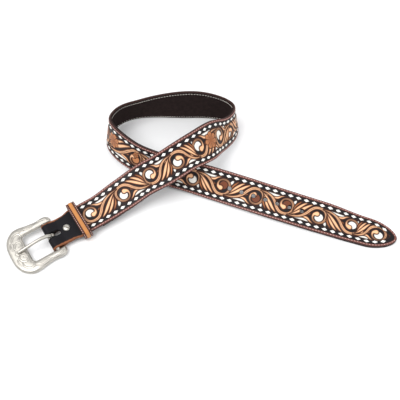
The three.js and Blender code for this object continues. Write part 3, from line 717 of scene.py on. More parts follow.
@dataclass
class Tooling:
    """Everything carved, dyed and inlaid in the strap's face."""

    course: Course
    rim: float = 2.9
    band: float = 8.4
    first: float = 40.0
    depth: float = 0.5
    hole_radius: float = 2.4
    holes: tuple[float, ...] = tuple(750.0 - 14.4 * k for k in range(7))
    turns: tuple[Turn, ...] = (
        Turn(47, -1, 1), Turn(75, -1, -1), Turn(103, -1, 1), Turn(127, -1, -1),
        Turn(167, -1, -1), Turn(197, -1, 1), Turn(232, -1, -1), Turn(270, -1, 1),
        Turn(313, -1, -1),
        Turn(47, 1, 1), Turn(75, 1, -1), Turn(103, 1, 1), Turn(127, 1, -1, Tone.EYE_BROWN),
        Turn(182, 1, 1, Tone.PETAL), Turn(219, 1, -1), Turn(255, 1, 1), Turn(292, 1, -1, Tone.EYE_BROWN),
        Turn(332, 1, 1, Tone.EYE_BROWN), Turn(368, 1, -1, Tone.EYE_BROWN), Turn(406, 1, 1),
        Turn(444, 1, -1), Turn(474, 1, 1),
    )
    blossoms: tuple[Blossom, ...] = (
        Blossom(217.0, 1.2, 10.2, 7), Blossom(509.0, 2.4, 10.2, 7), Blossom(545.0, 4.5, 4.2),
    )

    def openings(self, first: float, last: float) -> tuple[Opening, ...]:
        """The holes of a stretch of the strap.

        Args:
            first: Where the stretch starts.
            last: Where it ends.

        Returns:
            One opening for each hole in it.
        """
        return tuple(Opening(hole, hole, self.hole_radius) for hole in self.holes if first < hole < last)

    def canvas(self, along: Array, across: Array) -> Canvas:
        """Works out the face's height and colour at strap places.

        Args:
            along: Distances from the bar.
            across: Distances from the middle line.

        Returns:
            The canvas, with height 0 at the face's own level.
        """
        course = self.course
        half = course.half_width(along)
        inset = np.minimum((half - np.abs(across)) * course.edge_normal(along)[1], course.length - along)
        board = Canvas(along, across, np.zeros(along.shape), np.tile(Tone.GROUND.linear(), (len(along), 1)))
        tooled = smooth(self.band - 0.35, self.band + 0.35, inset)
        stipple = np.sin(along * 7.9 + np.sin(across * 5.3) * 2)
        stipple = stipple * np.sin(across * 8.3 + np.sin(along * 4.1) * 2)
        board.height += -self.depth * tooled * (1 + 0.12 * stipple) - 0.16 * (1 - tooled)
        room = (course.body_width(along) / 2 - self.band) / 10.6
        for side in (-1, 1):
            self._scroll(board, side, along, across / room, inset)
        for blossom in self.blossoms:
            self._blossom(board, blossom)
        self._border(board, inset, along)
        return board

    def _scroll(self, board: Canvas, side: int, along: Array, across: Array, inset: Array) -> None:
        """Carves the scroll on one side of the back.

        Args:
            board: The canvas.
            side: -1 towards the buckle, 1 towards the tip.
            along: Distances from the bar.
            across: Distances from the middle, scaled to the plain strap's field.
            inset: Distances in from the edge.
        """
        run = [turn for turn in self.turns if turn.side == side]
        before = -SCROLL.tail
        laid = []
        for turn in run:
            span = max(turn.from_back - before, SCROLL.least_pitch) + SCROLL.tail
            before = turn.from_back
            x = side * (along - self.course.back_at) - turn.from_back
            x = np.where(x < SCROLL.tail, SCROLL.tail + (x - SCROLL.tail) * SCROLL.stem / span, x)
            y = turn.hand * across
            near = np.nonzero((x > SCROLL.first) & (x < SCROLL.last) & (np.abs(y) < SCROLL.half)
                              & (inset > self.band - 0.9) & (along > self.first))[0]
            if len(near):
                laid.append((turn, near, x[near], y[near]))
        for turn, near, px, py in laid:
            for cx, cy, long, short, turned in SCROLL.patches:
                c, s = math.cos(math.radians(turned)), math.sin(math.radians(turned))
                u, w = (px - cx) * c + (py - cy) * s, (py - cy) * c - (px - cx) * s
                away = (np.hypot(u / long, w / short) - 1) * short
                self._patch(board, near, np.maximum(away, self.band + 0.7 - inset[near]), Tone.INLAY)
            cx, cy, radius = SCROLL.eye
            self._patch(board, near, np.hypot(px - cx, py - cy) - radius, turn.eye)
        for _, near, px, py in laid:
            for stroke in SCROLL.leaves:
                edge, middle, share = stroke.distance(px, py, 1.14)
                self._carve(board, near, stroke, edge, middle, share)

    def _patch(self, board: Canvas, near: Array, edge: Array, tone: Tone) -> None:
        """Lays a flat patch of inlaid leather in the ground.

        Args:
            board: The canvas.
            near: Index of the places that the patch may touch.
            edge: Distance outside its edge.
            tone: Its colour.
        """
        inside = 1 - smooth(-0.25, 0.25, edge)
        board.paint(near, tone.linear(), inside)
        level = -self.depth * 0.75
        board.height[near] = board.height[near] * (1 - inside) + level * inside

    def _carve(self, board: Canvas, near: Array, stroke: Stroke, edge: Array, middle: Array,
               share: Array) -> None:
        """Raises one stroke out of the ground, dyes it and paints a highlight along its middle.

        Args:
            board: The canvas.
            near: Index of the places that the stroke may touch.
            stroke: The stroke.
            edge: Distance outside its edge.
            middle: Distance from its middle line.
            share: Share along it.
        """
        line = 1 - smooth(0.0, 0.6, edge)
        board.paint(near, Tone.ANTIQUE.linear(), line)
        body = 1 - smooth(-0.95, -0.35, edge)
        deep = (1 - smooth(0.5, 1.5, -edge))[:, None] * 0.9
        # Painted highlight: up to 30% lighter along the stroke's middle, away from its edge, standing for
        # light on the raised ridge.
        painted_highlight = smooth(0.9, 1.6, -edge)[:, None]
        tone = stroke.tone.linear() * (1 + 0.3 * painted_highlight) * (1 - deep) + Tone.TAN_DEEP.linear() * 0.36 * deep
        mix = body[:, None]
        board.colour[near] = board.colour[near] * (1 - mix) + tone * mix
        if stroke.vein > 0:
            vein = (1 - smooth(stroke.vein * 0.7, stroke.vein * 1.9, middle)) * body
            vein = vein * smooth(0.04, 0.2, share) * (1 - smooth(0.76, 0.94, share))
            board.paint(near, Tone.ANTIQUE.linear(), vein * 0.85)
        rise = np.sin(np.pi / 2 * np.clip((0.2 - edge) / 1.3, 0, 1))
        top = -self.depth * 1.1 + self.depth * 1.2 * rise
        if stroke.vein > 0:
            top = top - 0.14 * vein
        ground = np.where(edge < 0.6, -self.depth * 1.1, board.height[near])
        board.height[near] = np.where(edge < 0.2, top, ground)

    def _blossom(self, board: Canvas, blossom: Blossom) -> None:
        """Carves a flower of overlapping petals.

        Args:
            board: The canvas.
            blossom: The flower.
        """
        x = board.x - blossom.at
        y = board.y - blossom.across
        near = np.nonzero(np.hypot(x, y) < blossom.radius * 1.3)[0]
        if len(near) == 0:
            return
        reach = np.hypot(x[near], y[near]) / blossom.radius
        angle = np.arctan2(y[near], x[near]) + 0.4
        lobe = np.abs(np.cos(angle * blossom.petals / 2))
        outline = (reach - (0.7 + 0.3 * lobe ** 0.6)) * blossom.radius
        board.paint(near, Tone.ANTIQUE.linear(), 1 - smooth(0.2, 0.7, outline))
        inside = 1 - smooth(-0.8, -0.3, outline)
        split = 1 - smooth(0.10, 0.30, lobe)
        deep = np.clip(0.1 + 0.8 * split + 0.5 * (1 - reach), 0, 1)
        tone = Tone.PETAL.linear() * (1 - deep[:, None]) + Tone.PETAL_DEEP.linear() * deep[:, None]
        board.colour[near] = board.colour[near] * (1 - inside[:, None]) + tone * inside[:, None]
        line = (1 - smooth(0.10, 0.26, lobe)) * inside * smooth(0.25, 0.4, reach)
        board.paint(near, Tone.ANTIQUE.linear(), line)
        vein = np.abs(np.sin(angle * blossom.petals)) + 0.35 * np.abs(reach - 0.5)
        span = (1 - smooth(0.62, 0.8, reach)) * smooth(0.25, 0.35, reach)
        vein = (1 - smooth(0.16, 0.34, vein)) * inside * span
        board.paint(near, Tone.ANTIQUE.linear(), vein * 0.8)
        rise = np.sqrt(np.clip(-outline / 2.0, 0, 1)) * (1 - 0.55 * line) * (0.75 + 0.25 * reach)
        heart = 1 - smooth(0.2, 0.27, reach)
        board.paint(near, Tone.TAN_DEEP.linear(), heart)
        seeds = 0.5 + 0.5 * np.sin(x[near] * 5.2) * np.sin(y[near] * 5.2)
        board.paint(near, Tone.ANTIQUE.linear(), heart * seeds * 0.6)
        height = -self.depth + (self.depth + 0.12) * rise + 0.1 * heart
        board.height[near] = np.where(outline < 0.3, height, board.height[near])

    def _border(self, board: Canvas, inset: Array, along: Array) -> None:
        """Dyes and grooves the rim, the lace's band and its cut line.

        Args:
            board: The canvas.
            inset: Distances in from the strap's edge.
            along: Distances along the strap.
        """
        every = np.arange(len(along))
        cut = np.exp(-((inset - self.band) / 0.38) ** 2)
        board.paint(every, Tone.ANTIQUE.linear(), cut)
        board.height -= 0.18 * cut
        rim = 1 - smooth(self.rim - 0.3, self.rim + 0.3, inset)
        board.paint(every, Tone.RIM.linear(), rim)
        board.height += 0.14 * rim
        groove = np.exp(-((inset - self.rim) / 0.35) ** 2)
        board.paint(every, Tone.ANTIQUE.linear(), groove * 0.8)
        board.height -= 0.12 * groove
        worn = 1 - smooth(0.1, 0.9, inset)
        board.paint(every, Tone.EDGE.linear(), worn * 0.7)
        for hole in self.holes:
            ring = np.hypot(along - hole, board.y) - self.hole_radius
            board.paint(every, Tone.ANTIQUE.linear(), 1 - smooth(0.1, 0.8, ring))
            board.height = np.where(ring < 0.7, np.maximum(board.height, -0.3), board.height)


def finish_object(
    mesh: bpy.types.Mesh, name: str, finish: Finish, body: Body
) -> bpy.types.Object:
    """Makes a shown object of a mesh.

    Args:
        mesh: The mesh, already in its place.
        name: The object's name.
        finish: Its surface finish.
        body: The body it rides on.

    Returns:
        The object.
    """
    made = bpy.data.objects.new(name, mesh)
    bpy.context.scene.collection.objects.link(made)
    mesh.materials.clear()
    mesh.materials.append(finish.material())
    mesh.polygons.foreach_set("use_smooth", np.ones(len(mesh.polygons), bool))
    mesh.update()
    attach(made, body.value)
    LOG.info("%s: %d faces", name, len(mesh.polygons))
    return made


def set_dye(mesh: bpy.types.Mesh, colour: Array) -> None:
    """Writes the dye attribute.

    Args:
        mesh: The mesh.
        colour: One linear colour, or one for each vertex.
    """
    count = len(mesh.vertices)
    full = np.ones((count, 4), np.float32)
    full[:, :3] = np.clip(colour, 0, 1)
    layer = mesh.attributes.get("dye") or mesh.attributes.new("dye", "FLOAT_COLOR", "POINT")
    layer.data.foreach_set("color", full.ravel())


def grid_mesh(rows: int, columns: int) -> tuple[bmesh.types.BMesh, Array, Array]:
    """A flat grid whose vertices are still to be placed.

    Args:
        rows: Vertices one way.
        columns: Vertices the other way.

    Returns:
        The bmesh, and each vertex's row and column.
    """
    bm = bmesh.new()
    bmesh.ops.create_grid(bm, x_segments=rows - 1, y_segments=columns - 1, size=1.0)
    bm.verts.ensure_lookup_table()
    flat = np.array([vertex.co[:2] for vertex in bm.verts])
    row = np.rint((flat[:, 0] + 1) / 2 * (rows - 1)).astype(int)
    column = np.rint((flat[:, 1] + 1) / 2 * (columns - 1)).astype(int)
    return bm, row, column


@dataclass(frozen=True)
class Opening:
    """A hole through a ply: a slot of some length with round ends."""

    first: float
    last: float
    radius: float

    def distance(self, along: Array, across: Array) -> Array:
        """Returns the distance outside the opening's edge."""
        beyond = along - np.clip(along, self.first, self.last)
        return np.hypot(beyond, across) - self.radius

    def snap(self, along: Array, across: Array, cell: float) -> tuple[Array, Array]:
        """Moves the nearest places onto the opening's edge.

        Args:
            along: Distances along the ply.
            across: Distances from its middle.
            cell: Distance between places.

        Returns:
            The moved along and across.
        """
        beyond = along - np.clip(along, self.first, self.last)
        size = np.maximum(np.hypot(beyond, across), 1e-6)
        move = np.abs(size - self.radius) < SNAP_SHARE * cell
        scale = np.where(move, self.radius / size, 1.0)
        return along - beyond + beyond * scale, across * scale


@dataclass
class Ply:
    """A closed ply swept along a path, with rounded outer edges and cut openings."""

    name: str
    top: float
    bottom: float
    edge: float
    columns: int
    bottom_columns: int
    openings: tuple[Opening, ...] = ()
    cell: float = 0.45

    def profile(self) -> tuple[Array, Array, Array, Array]:
        """The section's columns, once round.

        Returns:
            Share of the half width, inset from the edge, level share from bottom
            (0) to top (1), and 1 where the column lies on the outer face.
        """
        depth = self.edge / (self.top - self.bottom)
        turns = [math.radians(angle) for angle in (30, 60, 90)]
        edge = [(self.edge * (1 - math.sin(turn)), 1 - depth * (1 - math.cos(turn))) for turn in turns]
        edge += [(0.0, 0.16), (0.25, 0.0)]
        columns = [(f, self.edge, 1.0, 1) for f in np.linspace(-1, 1, self.columns)]
        columns += [(1.0, inset, level, 0) for inset, level in edge]
        columns += [(f, 0.25, 0.0, -1) for f in np.linspace(1, -1, self.bottom_columns)[1:-1]]
        columns += [(-1.0, inset, level, 0) for inset, level in reversed(edge)]
        columns.append((-1.0, self.edge, 1.0, 1))
        share, inset, level, face = np.array(columns).T
        return share, inset, level, face

    def sweep(
        self,
        stations: Array,
        half: Array,
        normal: tuple[Array, Array],
        place: Callable[[Array, Array, Array], Array],
        dress: Callable[[Array, Array, Array], tuple[Array, Array]],
        closed_tip: bool,
    ) -> bpy.types.Mesh:
        """Builds the ply.

        Args:
            stations: Distances along the path, one for each row.
            half: Half width at each row.
            normal: The edge's outward direction at each row, along and across.
            place: Turns along, across and level share (with carving) into metres.
            dress: Gives carving height and colour from along, across and face.
            closed_tip: Whether the last row is a rounded point.

        Returns:
            The mesh with its dye attribute.
        """
        share, inset, level, face = self.profile()
        bm, row, column = grid_mesh(len(stations), len(share))
        out_along, out_across = normal[0][row], normal[1][row]
        reach = np.maximum(half[row] - inset[column] * out_across, 0)
        along = stations[row] - inset[column] * out_along
        across = share[column] * reach
        side = face[column]
        flat = side != 0
        for opening in self.openings:
            new_along, new_across = opening.snap(along, across, self.cell)
            along = np.where(flat, new_along, along)
            across = np.where(flat, new_across, across)
        height, colour = dress(along, across, side)
        points = place(along, across, np.stack([level[column], height * (side == 1)]))
        mesh = bpy.data.meshes.new(self.name)
        inner = np.zeros(len(along), bool)
        rim = np.zeros(len(along), bool)
        for opening in self.openings:
            away = opening.distance(along, across)
            inner |= flat & (away < -1e-4)
            rim |= flat & (away < ON_EDGE)
        for vertex, point in zip(bm.verts, points):
            vertex.co = point
        doomed = [
            bface for bface in bm.faces
            if any(inner[vertex.index] for vertex in bface.verts)
            or all(rim[vertex.index] for vertex in bface.verts)
        ] if self.openings else []
        dye = bm.verts.layers.float_color.new("dye")
        mark = bm.verts.layers.int.new("hole")
        bm.verts.ensure_lookup_table()
        for vertex, tone in zip(bm.verts, np.clip(colour, 0, 1)):
            vertex[dye] = (tone[0], tone[1], tone[2], 1.0)
        last = len(share) - 1
        seam = [vertex for vertex in bm.verts if column[vertex.index] in (0, last)]
        point = [vertex for vertex in bm.verts if closed_tip and row[vertex.index] > len(stations) - 8]
        for number, opening in enumerate(self.openings):
            near = np.nonzero(flat & (np.abs(opening.distance(along, across)) < ON_EDGE))[0]
            for index in near:
                bm.verts[index][mark] = number + 1
        if doomed:
            bmesh.ops.delete(bm, geom=doomed, context="FACES")
        bmesh.ops.remove_doubles(bm, verts=[vertex for vertex in seam if vertex.is_valid], dist=MERGE)
        bmesh.ops.remove_doubles(bm, verts=[vertex for vertex in point if vertex.is_valid], dist=MERGE)
        for number in range(len(self.openings)):
            loop = [edge for edge in bm.edges if edge.is_boundary
                    and all(vertex[mark] == number + 1 for vertex in edge.verts)]
            if loop:
                bmesh.ops.bridge_loops(bm, edges=loop)
        open_ends = [edge for edge in bm.edges if edge.is_boundary]
        for edge in open_ends:
            edge.smooth = False
        bmesh.ops.edgeloop_fill(bm, edges=open_ends)
        bmesh.ops.recalc_face_normals(bm, faces=bm.faces)
        bm.to_mesh(mesh)
        bm.free()
        return mesh


@dataclass
class StrapFace:
    """The tooled ply, in lengths that lie end to end."""

    course: Course
    tooling: Tooling
    joints: tuple[float, ...] = (36.0, 236.0, 436.0, 640.0, 858.0)
    pitch: float = 0.46
    columns: int = 92
    tip_rows: int = 92

    def build(self) -> list[bpy.types.Object]:
        """Builds the tooled ply.

        Returns:
            The lengths, from the buckle end to the tip.
        """
        course = self.course
        made = []
        for number, (first, last) in enumerate(zip(self.joints, self.joints[1:])):
            tip = last >= course.length
            stations = self.stations(first, last, tip)
            holed = self.tooling.openings(first, last)
            ply = Ply(f"strap_face_{number + 1}", top=course.thickness / 2, bottom=-0.2, edge=0.75,
                      columns=self.columns, bottom_columns=self.columns if holed else 10, openings=holed,
                      cell=self.pitch)
            half = course.half_width(stations)
            normal = course.edge_normal(stations)
            if tip:
                half[-1] = 0.0
                normal[0][-1], normal[1][-1] = 1.0, 0.0
            mesh = ply.sweep(stations, half, normal, self.place_for(ply), self.dress, tip)
            made.append(finish_object(mesh, ply.name, TOOLED_FINISH, Body.STRAP))
        return made

    def stations(self, first: float, last: float, tip: bool) -> Array:
        """Rows along the strap.

        Args:
            first: Where the length starts.
            last: Where it ends.
            tip: Whether it ends in the rounded point.

        Returns:
            Distances from the bar.
        """
        if not tip:
            return np.linspace(first, last, round((last - first) / self.pitch) + 1)
        return self.course.rows_to_tip(first, self.pitch, self.tip_rows)

    def place_for(self, ply: Ply) -> Callable[[Array, Array, Array], Array]:
        """Makes the ply's placer.

        Args:
            ply: The ply's sizes.

        Returns:
            A function from along, across and levels to metres.
        """
        def put(along: Array, across: Array, levels: Array) -> Array:
            """Returns places on the course."""
            level = ply.bottom + (ply.top - ply.bottom) * levels[0] + levels[1]
            return self.course.place(along, across, level)
        return put

    def dress(self, along: Array, across: Array, side: Array) -> tuple[Array, Array]:
        """Carving and dye of the ply.

        Args:
            along: Distances from the bar.
            across: Distances from the middle line.
            side: 1 on the face, 0 on an edge, -1 underneath.

        Returns:
            Heights and linear colours.
        """
        height = np.zeros(len(along))
        colour = np.tile(Tone.EDGE.linear(), (len(along), 1))
        face = side == 1
        board = self.tooling.canvas(along[face], across[face])
        fade = smooth(0.75, 1.4, (self.course.half_width(along[face]) - np.abs(across[face])))
        height[face] = board.height * fade
        colour[face] = board.colour
        return height, colour


@dataclass
class Lining:
    """The dark suede lining, darker along the line of its thread."""

    course: Course
    tooling: Tooling
    start: float = 54.3
    pitch: float = 1.05
    columns: int = 38
    tip_rows: int = 30

    def build(self) -> bpy.types.Object:
        """Builds the lining.

        Returns:
            The lining's object.
        """
        course = self.course
        stations = course.rows_to_tip(self.start, self.pitch, self.tip_rows)
        half = course.half_width(stations) - 0.1
        normal = course.edge_normal(stations)
        half[-1] = 0.0
        normal[0][-1], normal[1][-1] = 1.0, 0.0
        ply = Ply("lining_suede", top=-0.5, bottom=-course.thickness / 2, edge=0.2, columns=self.columns,
                  bottom_columns=self.columns, cell=self.pitch,
                  openings=self.tooling.openings(self.start, course.length))

        def put(along: Array, across: Array, levels: Array) -> Array:
            """Returns places on the course."""
            return course.place(along, across, ply.bottom + (ply.top - ply.bottom) * levels[0])

        def dress(along: Array, across: Array, side: Array) -> tuple[Array, Array]:
            """Dyes the suede, darker under its thread.

            Args:
                along: Distances from the bar.
                across: Distances from the middle line.
                side: 1 on the hidden face, 0 on an edge, -1 on the suede. Not used.

            Returns:
                No carving, and linear colours.
            """
            colour = np.tile(Tone.SUEDE.linear(), (len(along), 1))
            inset = course.half_width(along) - np.abs(across)
            groove = np.exp(-((inset - 2.6) / 0.6) ** 2) * 0.45
            return np.zeros(len(along)), colour * (1 - groove[:, None])

        mesh = ply.sweep(stations, half, normal, put, dress, True)
        return finish_object(mesh, ply.name, SUEDE_FINISH, Body.STRAP)


@dataclass
class Neck:
    """The smooth black end that folds round the bar and back under."""

    course: Course
    top_from: float = 36.0
    bottom_to: float = 53.7
    slot_radius: float = 3.2
    slot_behind: float = 8.5
    pitch: float = 0.7

    def path(self, run: Array) -> tuple[Array, Array, Array, Array, Array]:
        """The ply's middle in the buckle end's axes.

        Args:
            run: Distances along the ply from its start on top.

        Returns:
            x, z, the normal's x and z, and the ply's thickness.
        """
        course = self.course
        radius = course.fold_inner + course.tooled_ply / 2
        arc = math.pi * radius
        top_level = (course.piece_gap + course.tooled_ply) / 2

        def ease(x: Array) -> Array:
            """Returns 1 at the bar and 0 where the plies lie flat."""
            return 1 - smooth(0, course.fold_ease, x)

        def middle(where: Array) -> tuple[Array, Array, Array]:
            """The ply's middle round the bar.

            Args:
                where: Distances along the ply.

            Returns:
                x, z and the ply's thickness.
            """
            x_top = self.top_from - where
            angle = np.pi / 2 + np.clip(where - self.top_from, 0, arc) / radius
            x_bottom = where - self.top_from - arc
            skived = np.clip(x_bottom / course.fold_ease, 0, 1)
            ply = course.tooled_ply + (course.fold_ply - course.tooled_ply) * skived
            low = (course.piece_gap + ply) / 2
            x = np.where(x_top > 0, x_top, np.where(x_bottom > 0, x_bottom, radius * np.cos(angle)))
            z = np.where(
                x_top > 0, top_level + (radius - top_level) * ease(x_top),
                np.where(x_bottom > 0, -low - (radius - low) * ease(x_bottom), radius * np.sin(angle)))
            return x, z, ply

        x, z, ply = middle(run)
        step = 0.05
        x1, z1, _ = middle(run + step)
        x0, z0, _ = middle(run - step)
        size = np.hypot(x1 - x0, z1 - z0)
        return x, z, -(z1 - z0) / size, (x1 - x0) / size, ply

    def build(self) -> bpy.types.Object:
        """Builds the neck.

        Returns:
            The neck's object.
        """
        course = self.course
        radius = course.fold_inner + course.tooled_ply / 2
        arc = math.pi * radius
        total = self.top_from + arc + self.bottom_to
        stations = np.linspace(0, total, round(total / self.pitch) + 1)

        def x_of(run: Array) -> Array:
            """Returns how far from the bar each place is, on either ply."""
            return np.maximum(np.maximum(self.top_from - run, run - self.top_from - arc), 0)

        half = course.half_width(x_of(stations))
        half = np.where(stations > self.top_from, np.minimum(half, course.neck_width / 2), half)
        flat = np.zeros(len(stations))
        slot = Opening(
            self.top_from - self.slot_behind, self.top_from + arc + self.slot_behind, self.slot_radius)
        ply = Ply("neck_fold", top=1.0, bottom=0.0, edge=0.7, columns=50, bottom_columns=50, openings=(slot,),
                  cell=0.7)

        def put(run: Array, across: Array, levels: Array) -> Array:
            """Places the folded ply.

            Args:
                run: Distances along the ply.
                across: Distances from its middle line.
                levels: Shares of its thickness, and the carving.

            Returns:
                Points in metres.
            """
            x, z, nx, nz, thick = self.path(run)
            away = (levels[0] - 0.5) * thick + levels[1]
            return course.place_at_bar(np.stack([x - nx * away, across, z - nz * away], axis=1))

        def dress(run: Array, across: Array, side: Array) -> tuple[Array, Array]:
            """Creases and dyes the neck, and paints shade round its slot.

            Args:
                run: Distances along the ply.
                across: Distances from its middle line.
                side: 1 on the face, 0 on an edge, -1 underneath.

            Returns:
                Heights and linear colours.
            """
            colour = np.tile(Tone.NECK.linear(), (len(run), 1))
            half_here = np.where(run > self.top_from, course.neck_width / 2, course.half_width(x_of(run)))
            inset = half_here - np.abs(across)
            wave = 0.3 * np.sin(run * 0.31) + 0.15 * np.sin(run * 1.3)
            brown = 1 - smooth(1.2 + wave, 2.2 + wave, inset)
            colour = colour * (1 - brown[:, None]) + Tone.NECK_EDGE.linear() * brown[:, None]
            under = (run > self.top_from + arc + 6)[:, None]
            colour = np.where(under, Tone.PETAL_DEEP.linear() * 0.6, colour)
            edge = (side == 0)[:, None]
            colour = np.where(edge, Tone.NECK_EDGE.linear() * 0.75, colour)
            # Painted shade: the slot's rim and walls are dyed darker than the neck, standing for the shade
            # inside the slot.
            slot_painted_shade = (slot.distance(run, across) < 0.5)[:, None]
            colour = np.where(slot_painted_shade, Tone.NECK.linear() * 0.8, colour)
            return -0.12 * np.exp(-((inset - 2.6) / 0.4) ** 2), colour

        mesh = ply.sweep(stations, half, (flat, flat + 1.0), put, dress, False)
        return finish_object(mesh, ply.name, NECK_FINISH, Body.STRAP)


@dataclass
class Scatter:
    """One small shape repeated at many places on the belt."""

    name: str
    finish: Finish
    slot: Slot
    tone: Tone
    body: Body = Body.STRAP

    def build(self, shape: bmesh.types.BMesh, origins: Array, axes: Array) -> bpy.types.Object:
        """Repeats the shape.

        Args:
            shape: The shape in millimetres about its own origin. It is freed.
            origins: Places in metres.
            axes: For each place, columns of the shape's x, y and z directions.

        Returns:
            One object with every copy.
        """
        single = bpy.data.meshes.new(self.name + "_one")
        shape.to_mesh(single)
        shape.free()
        corner = np.array([vertex.co[:] for vertex in single.vertices])
        bm = bmesh.new()
        for _ in range(len(origins)):
            bm.from_mesh(single)
        mesh = bpy.data.meshes.new(self.name)
        bm.to_mesh(mesh)
        bm.free()
        bpy.data.meshes.remove(single)
        points = np.einsum("nij,kj->nki", axes, corner) * METRES + origins[:, None]
        mesh.vertices.foreach_set("co", points.reshape(-1).astype(np.float32))
        set_dye(mesh, self.tone.linear())
        return finish_object(mesh, self.name, self.finish, self.body)


def turned_axes(axes: Array, angle: Array) -> Array:
    """Turns each set of axes about its third.

    Args:
        axes: Matrices with the directions as columns.
        angle: Radians for each.

    Returns:
        The turned matrices.
    """
    c, s = np.cos(angle)[:, None], np.sin(angle)[:, None]
    x = axes[:, :, 0] * c + axes[:, :, 1] * s
    y = -axes[:, :, 0] * s + axes[:, :, 1] * c
    return np.stack([x, y, axes[:, :, 2]], axis=-1)


def thread_stitch(length: float, width: float) -> bmesh.types.BMesh:
    """Models one stitch, a rounded bead of thread.

    Args:
        length: Its length.
        width: Its width.

    Returns:
        The bead about its own origin.
    """
    bm = bmesh.new()
    bmesh.ops.create_uvsphere(bm, u_segments=6, v_segments=5, radius=0.5)
    bmesh.ops.rotate(bm, cent=Vector(), matrix=Matrix.Rotation(math.pi / 2, 3, "Y"), verts=bm.verts)
    bmesh.ops.scale(bm, vec=Vector((length, width, width * 0.8)), verts=bm.verts)
    return bm


@dataclass
class EdgeWork:
    """The white lace and the threads that follow the strap's edges."""

    course: Course
    lace_inset: float = 5.7
    lace_pitch: float = 9.3
    lace_length: float = 7.4
    lace_width: float = 4.0
    thread_inset: float = 1.55
    thread_pitch: float = 3.3
    lining_inset: float = 2.4
    lace_start: float = 41.0
    thread_start: float = 40.5
    lining_start: float = 55.5
    sunk: float = 0.12

    def build(self) -> list[bpy.types.Object]:
        """Lays the lace and the threads.

        Returns:
            The lace, the rim's thread and the lining's thread.
        """
        face = self.course.thickness / 2
        return [
            self._row("buckstitch_lace", LACE_FINISH, Tone.LACE, Slot.TOOLED, self._lozenge(),
                      self.lace_inset, self.lace_pitch, self.lace_start, face - self.sunk, 1.0),
            self._row("rim_thread", THREAD_FINISH, Tone.THREAD, Slot.TOOLED, thread_stitch(2.1, 0.55),
                      self.thread_inset, self.thread_pitch, self.thread_start, face + self.sunk, 1.0),
            self._row("lining_thread", THREAD_FINISH, Tone.LINING_THREAD, Slot.LINING,
                      thread_stitch(2.3, 0.75), self.lining_inset, self.thread_pitch,
                      self.lining_start, -face, -1.0),
        ]

    def _lozenge(self) -> bmesh.types.BMesh:
        """Models one crossing of the lace.

        Returns:
            A bevelled lozenge about its own origin.
        """
        bm = bmesh.new()
        bmesh.ops.create_cone(bm, cap_ends=True, segments=4, radius1=1.0, radius2=0.72, depth=1.0)
        bmesh.ops.scale(bm, vec=Vector((self.lace_length / 2, self.lace_width / 2, 0.55)), verts=bm.verts)
        upper = [edge for edge in bm.edges if all(vertex.co.z > 0 for vertex in edge.verts)]
        bmesh.ops.bevel(bm, geom=upper, offset=0.18, segments=1, profile=0.5, affect="EDGES", material=-1)
        return bm

    def _row(self, name: str, finish: Finish, tone: Tone, slot: Slot, shape: bmesh.types.BMesh, inset: float,
             pitch: float, start: float, level: float, facing: float) -> bpy.types.Object:
        """Lays a shape along both edges.

        Args:
            name: The piece's name.
            finish: Its finish.
            tone: Its colour.
            slot: The record's slot.
            shape: The shape to repeat.
            inset: Distance in from the edge.
            pitch: Distance between copies.
            start: Where the rows start.
            level: Height out of the mid plane.
            facing: 1 on the face, -1 on the lining.

        Returns:
            The rows as one object.
        """
        x, y, turn = self.course.edge_line(inset, start, pitch)
        clear = (x < self.course.length - self.course.tip_length) | (y > 0.36 * pitch)
        x, y, turn = x[clear], y[clear], turn[clear]
        along = np.concatenate([x, x])
        across = np.concatenate([y, -y])
        angle = np.concatenate([turn, -turn])
        axes = self.course.strap_axes(along)
        axes = turned_axes(axes, angle)
        if facing < 0:
            axes = axes * np.array([1.0, -1.0, -1.0])
        origins = self.course.place(along, across, np.full(len(along), level))
        return Scatter(name, finish, slot, tone).build(shape, origins, axes)


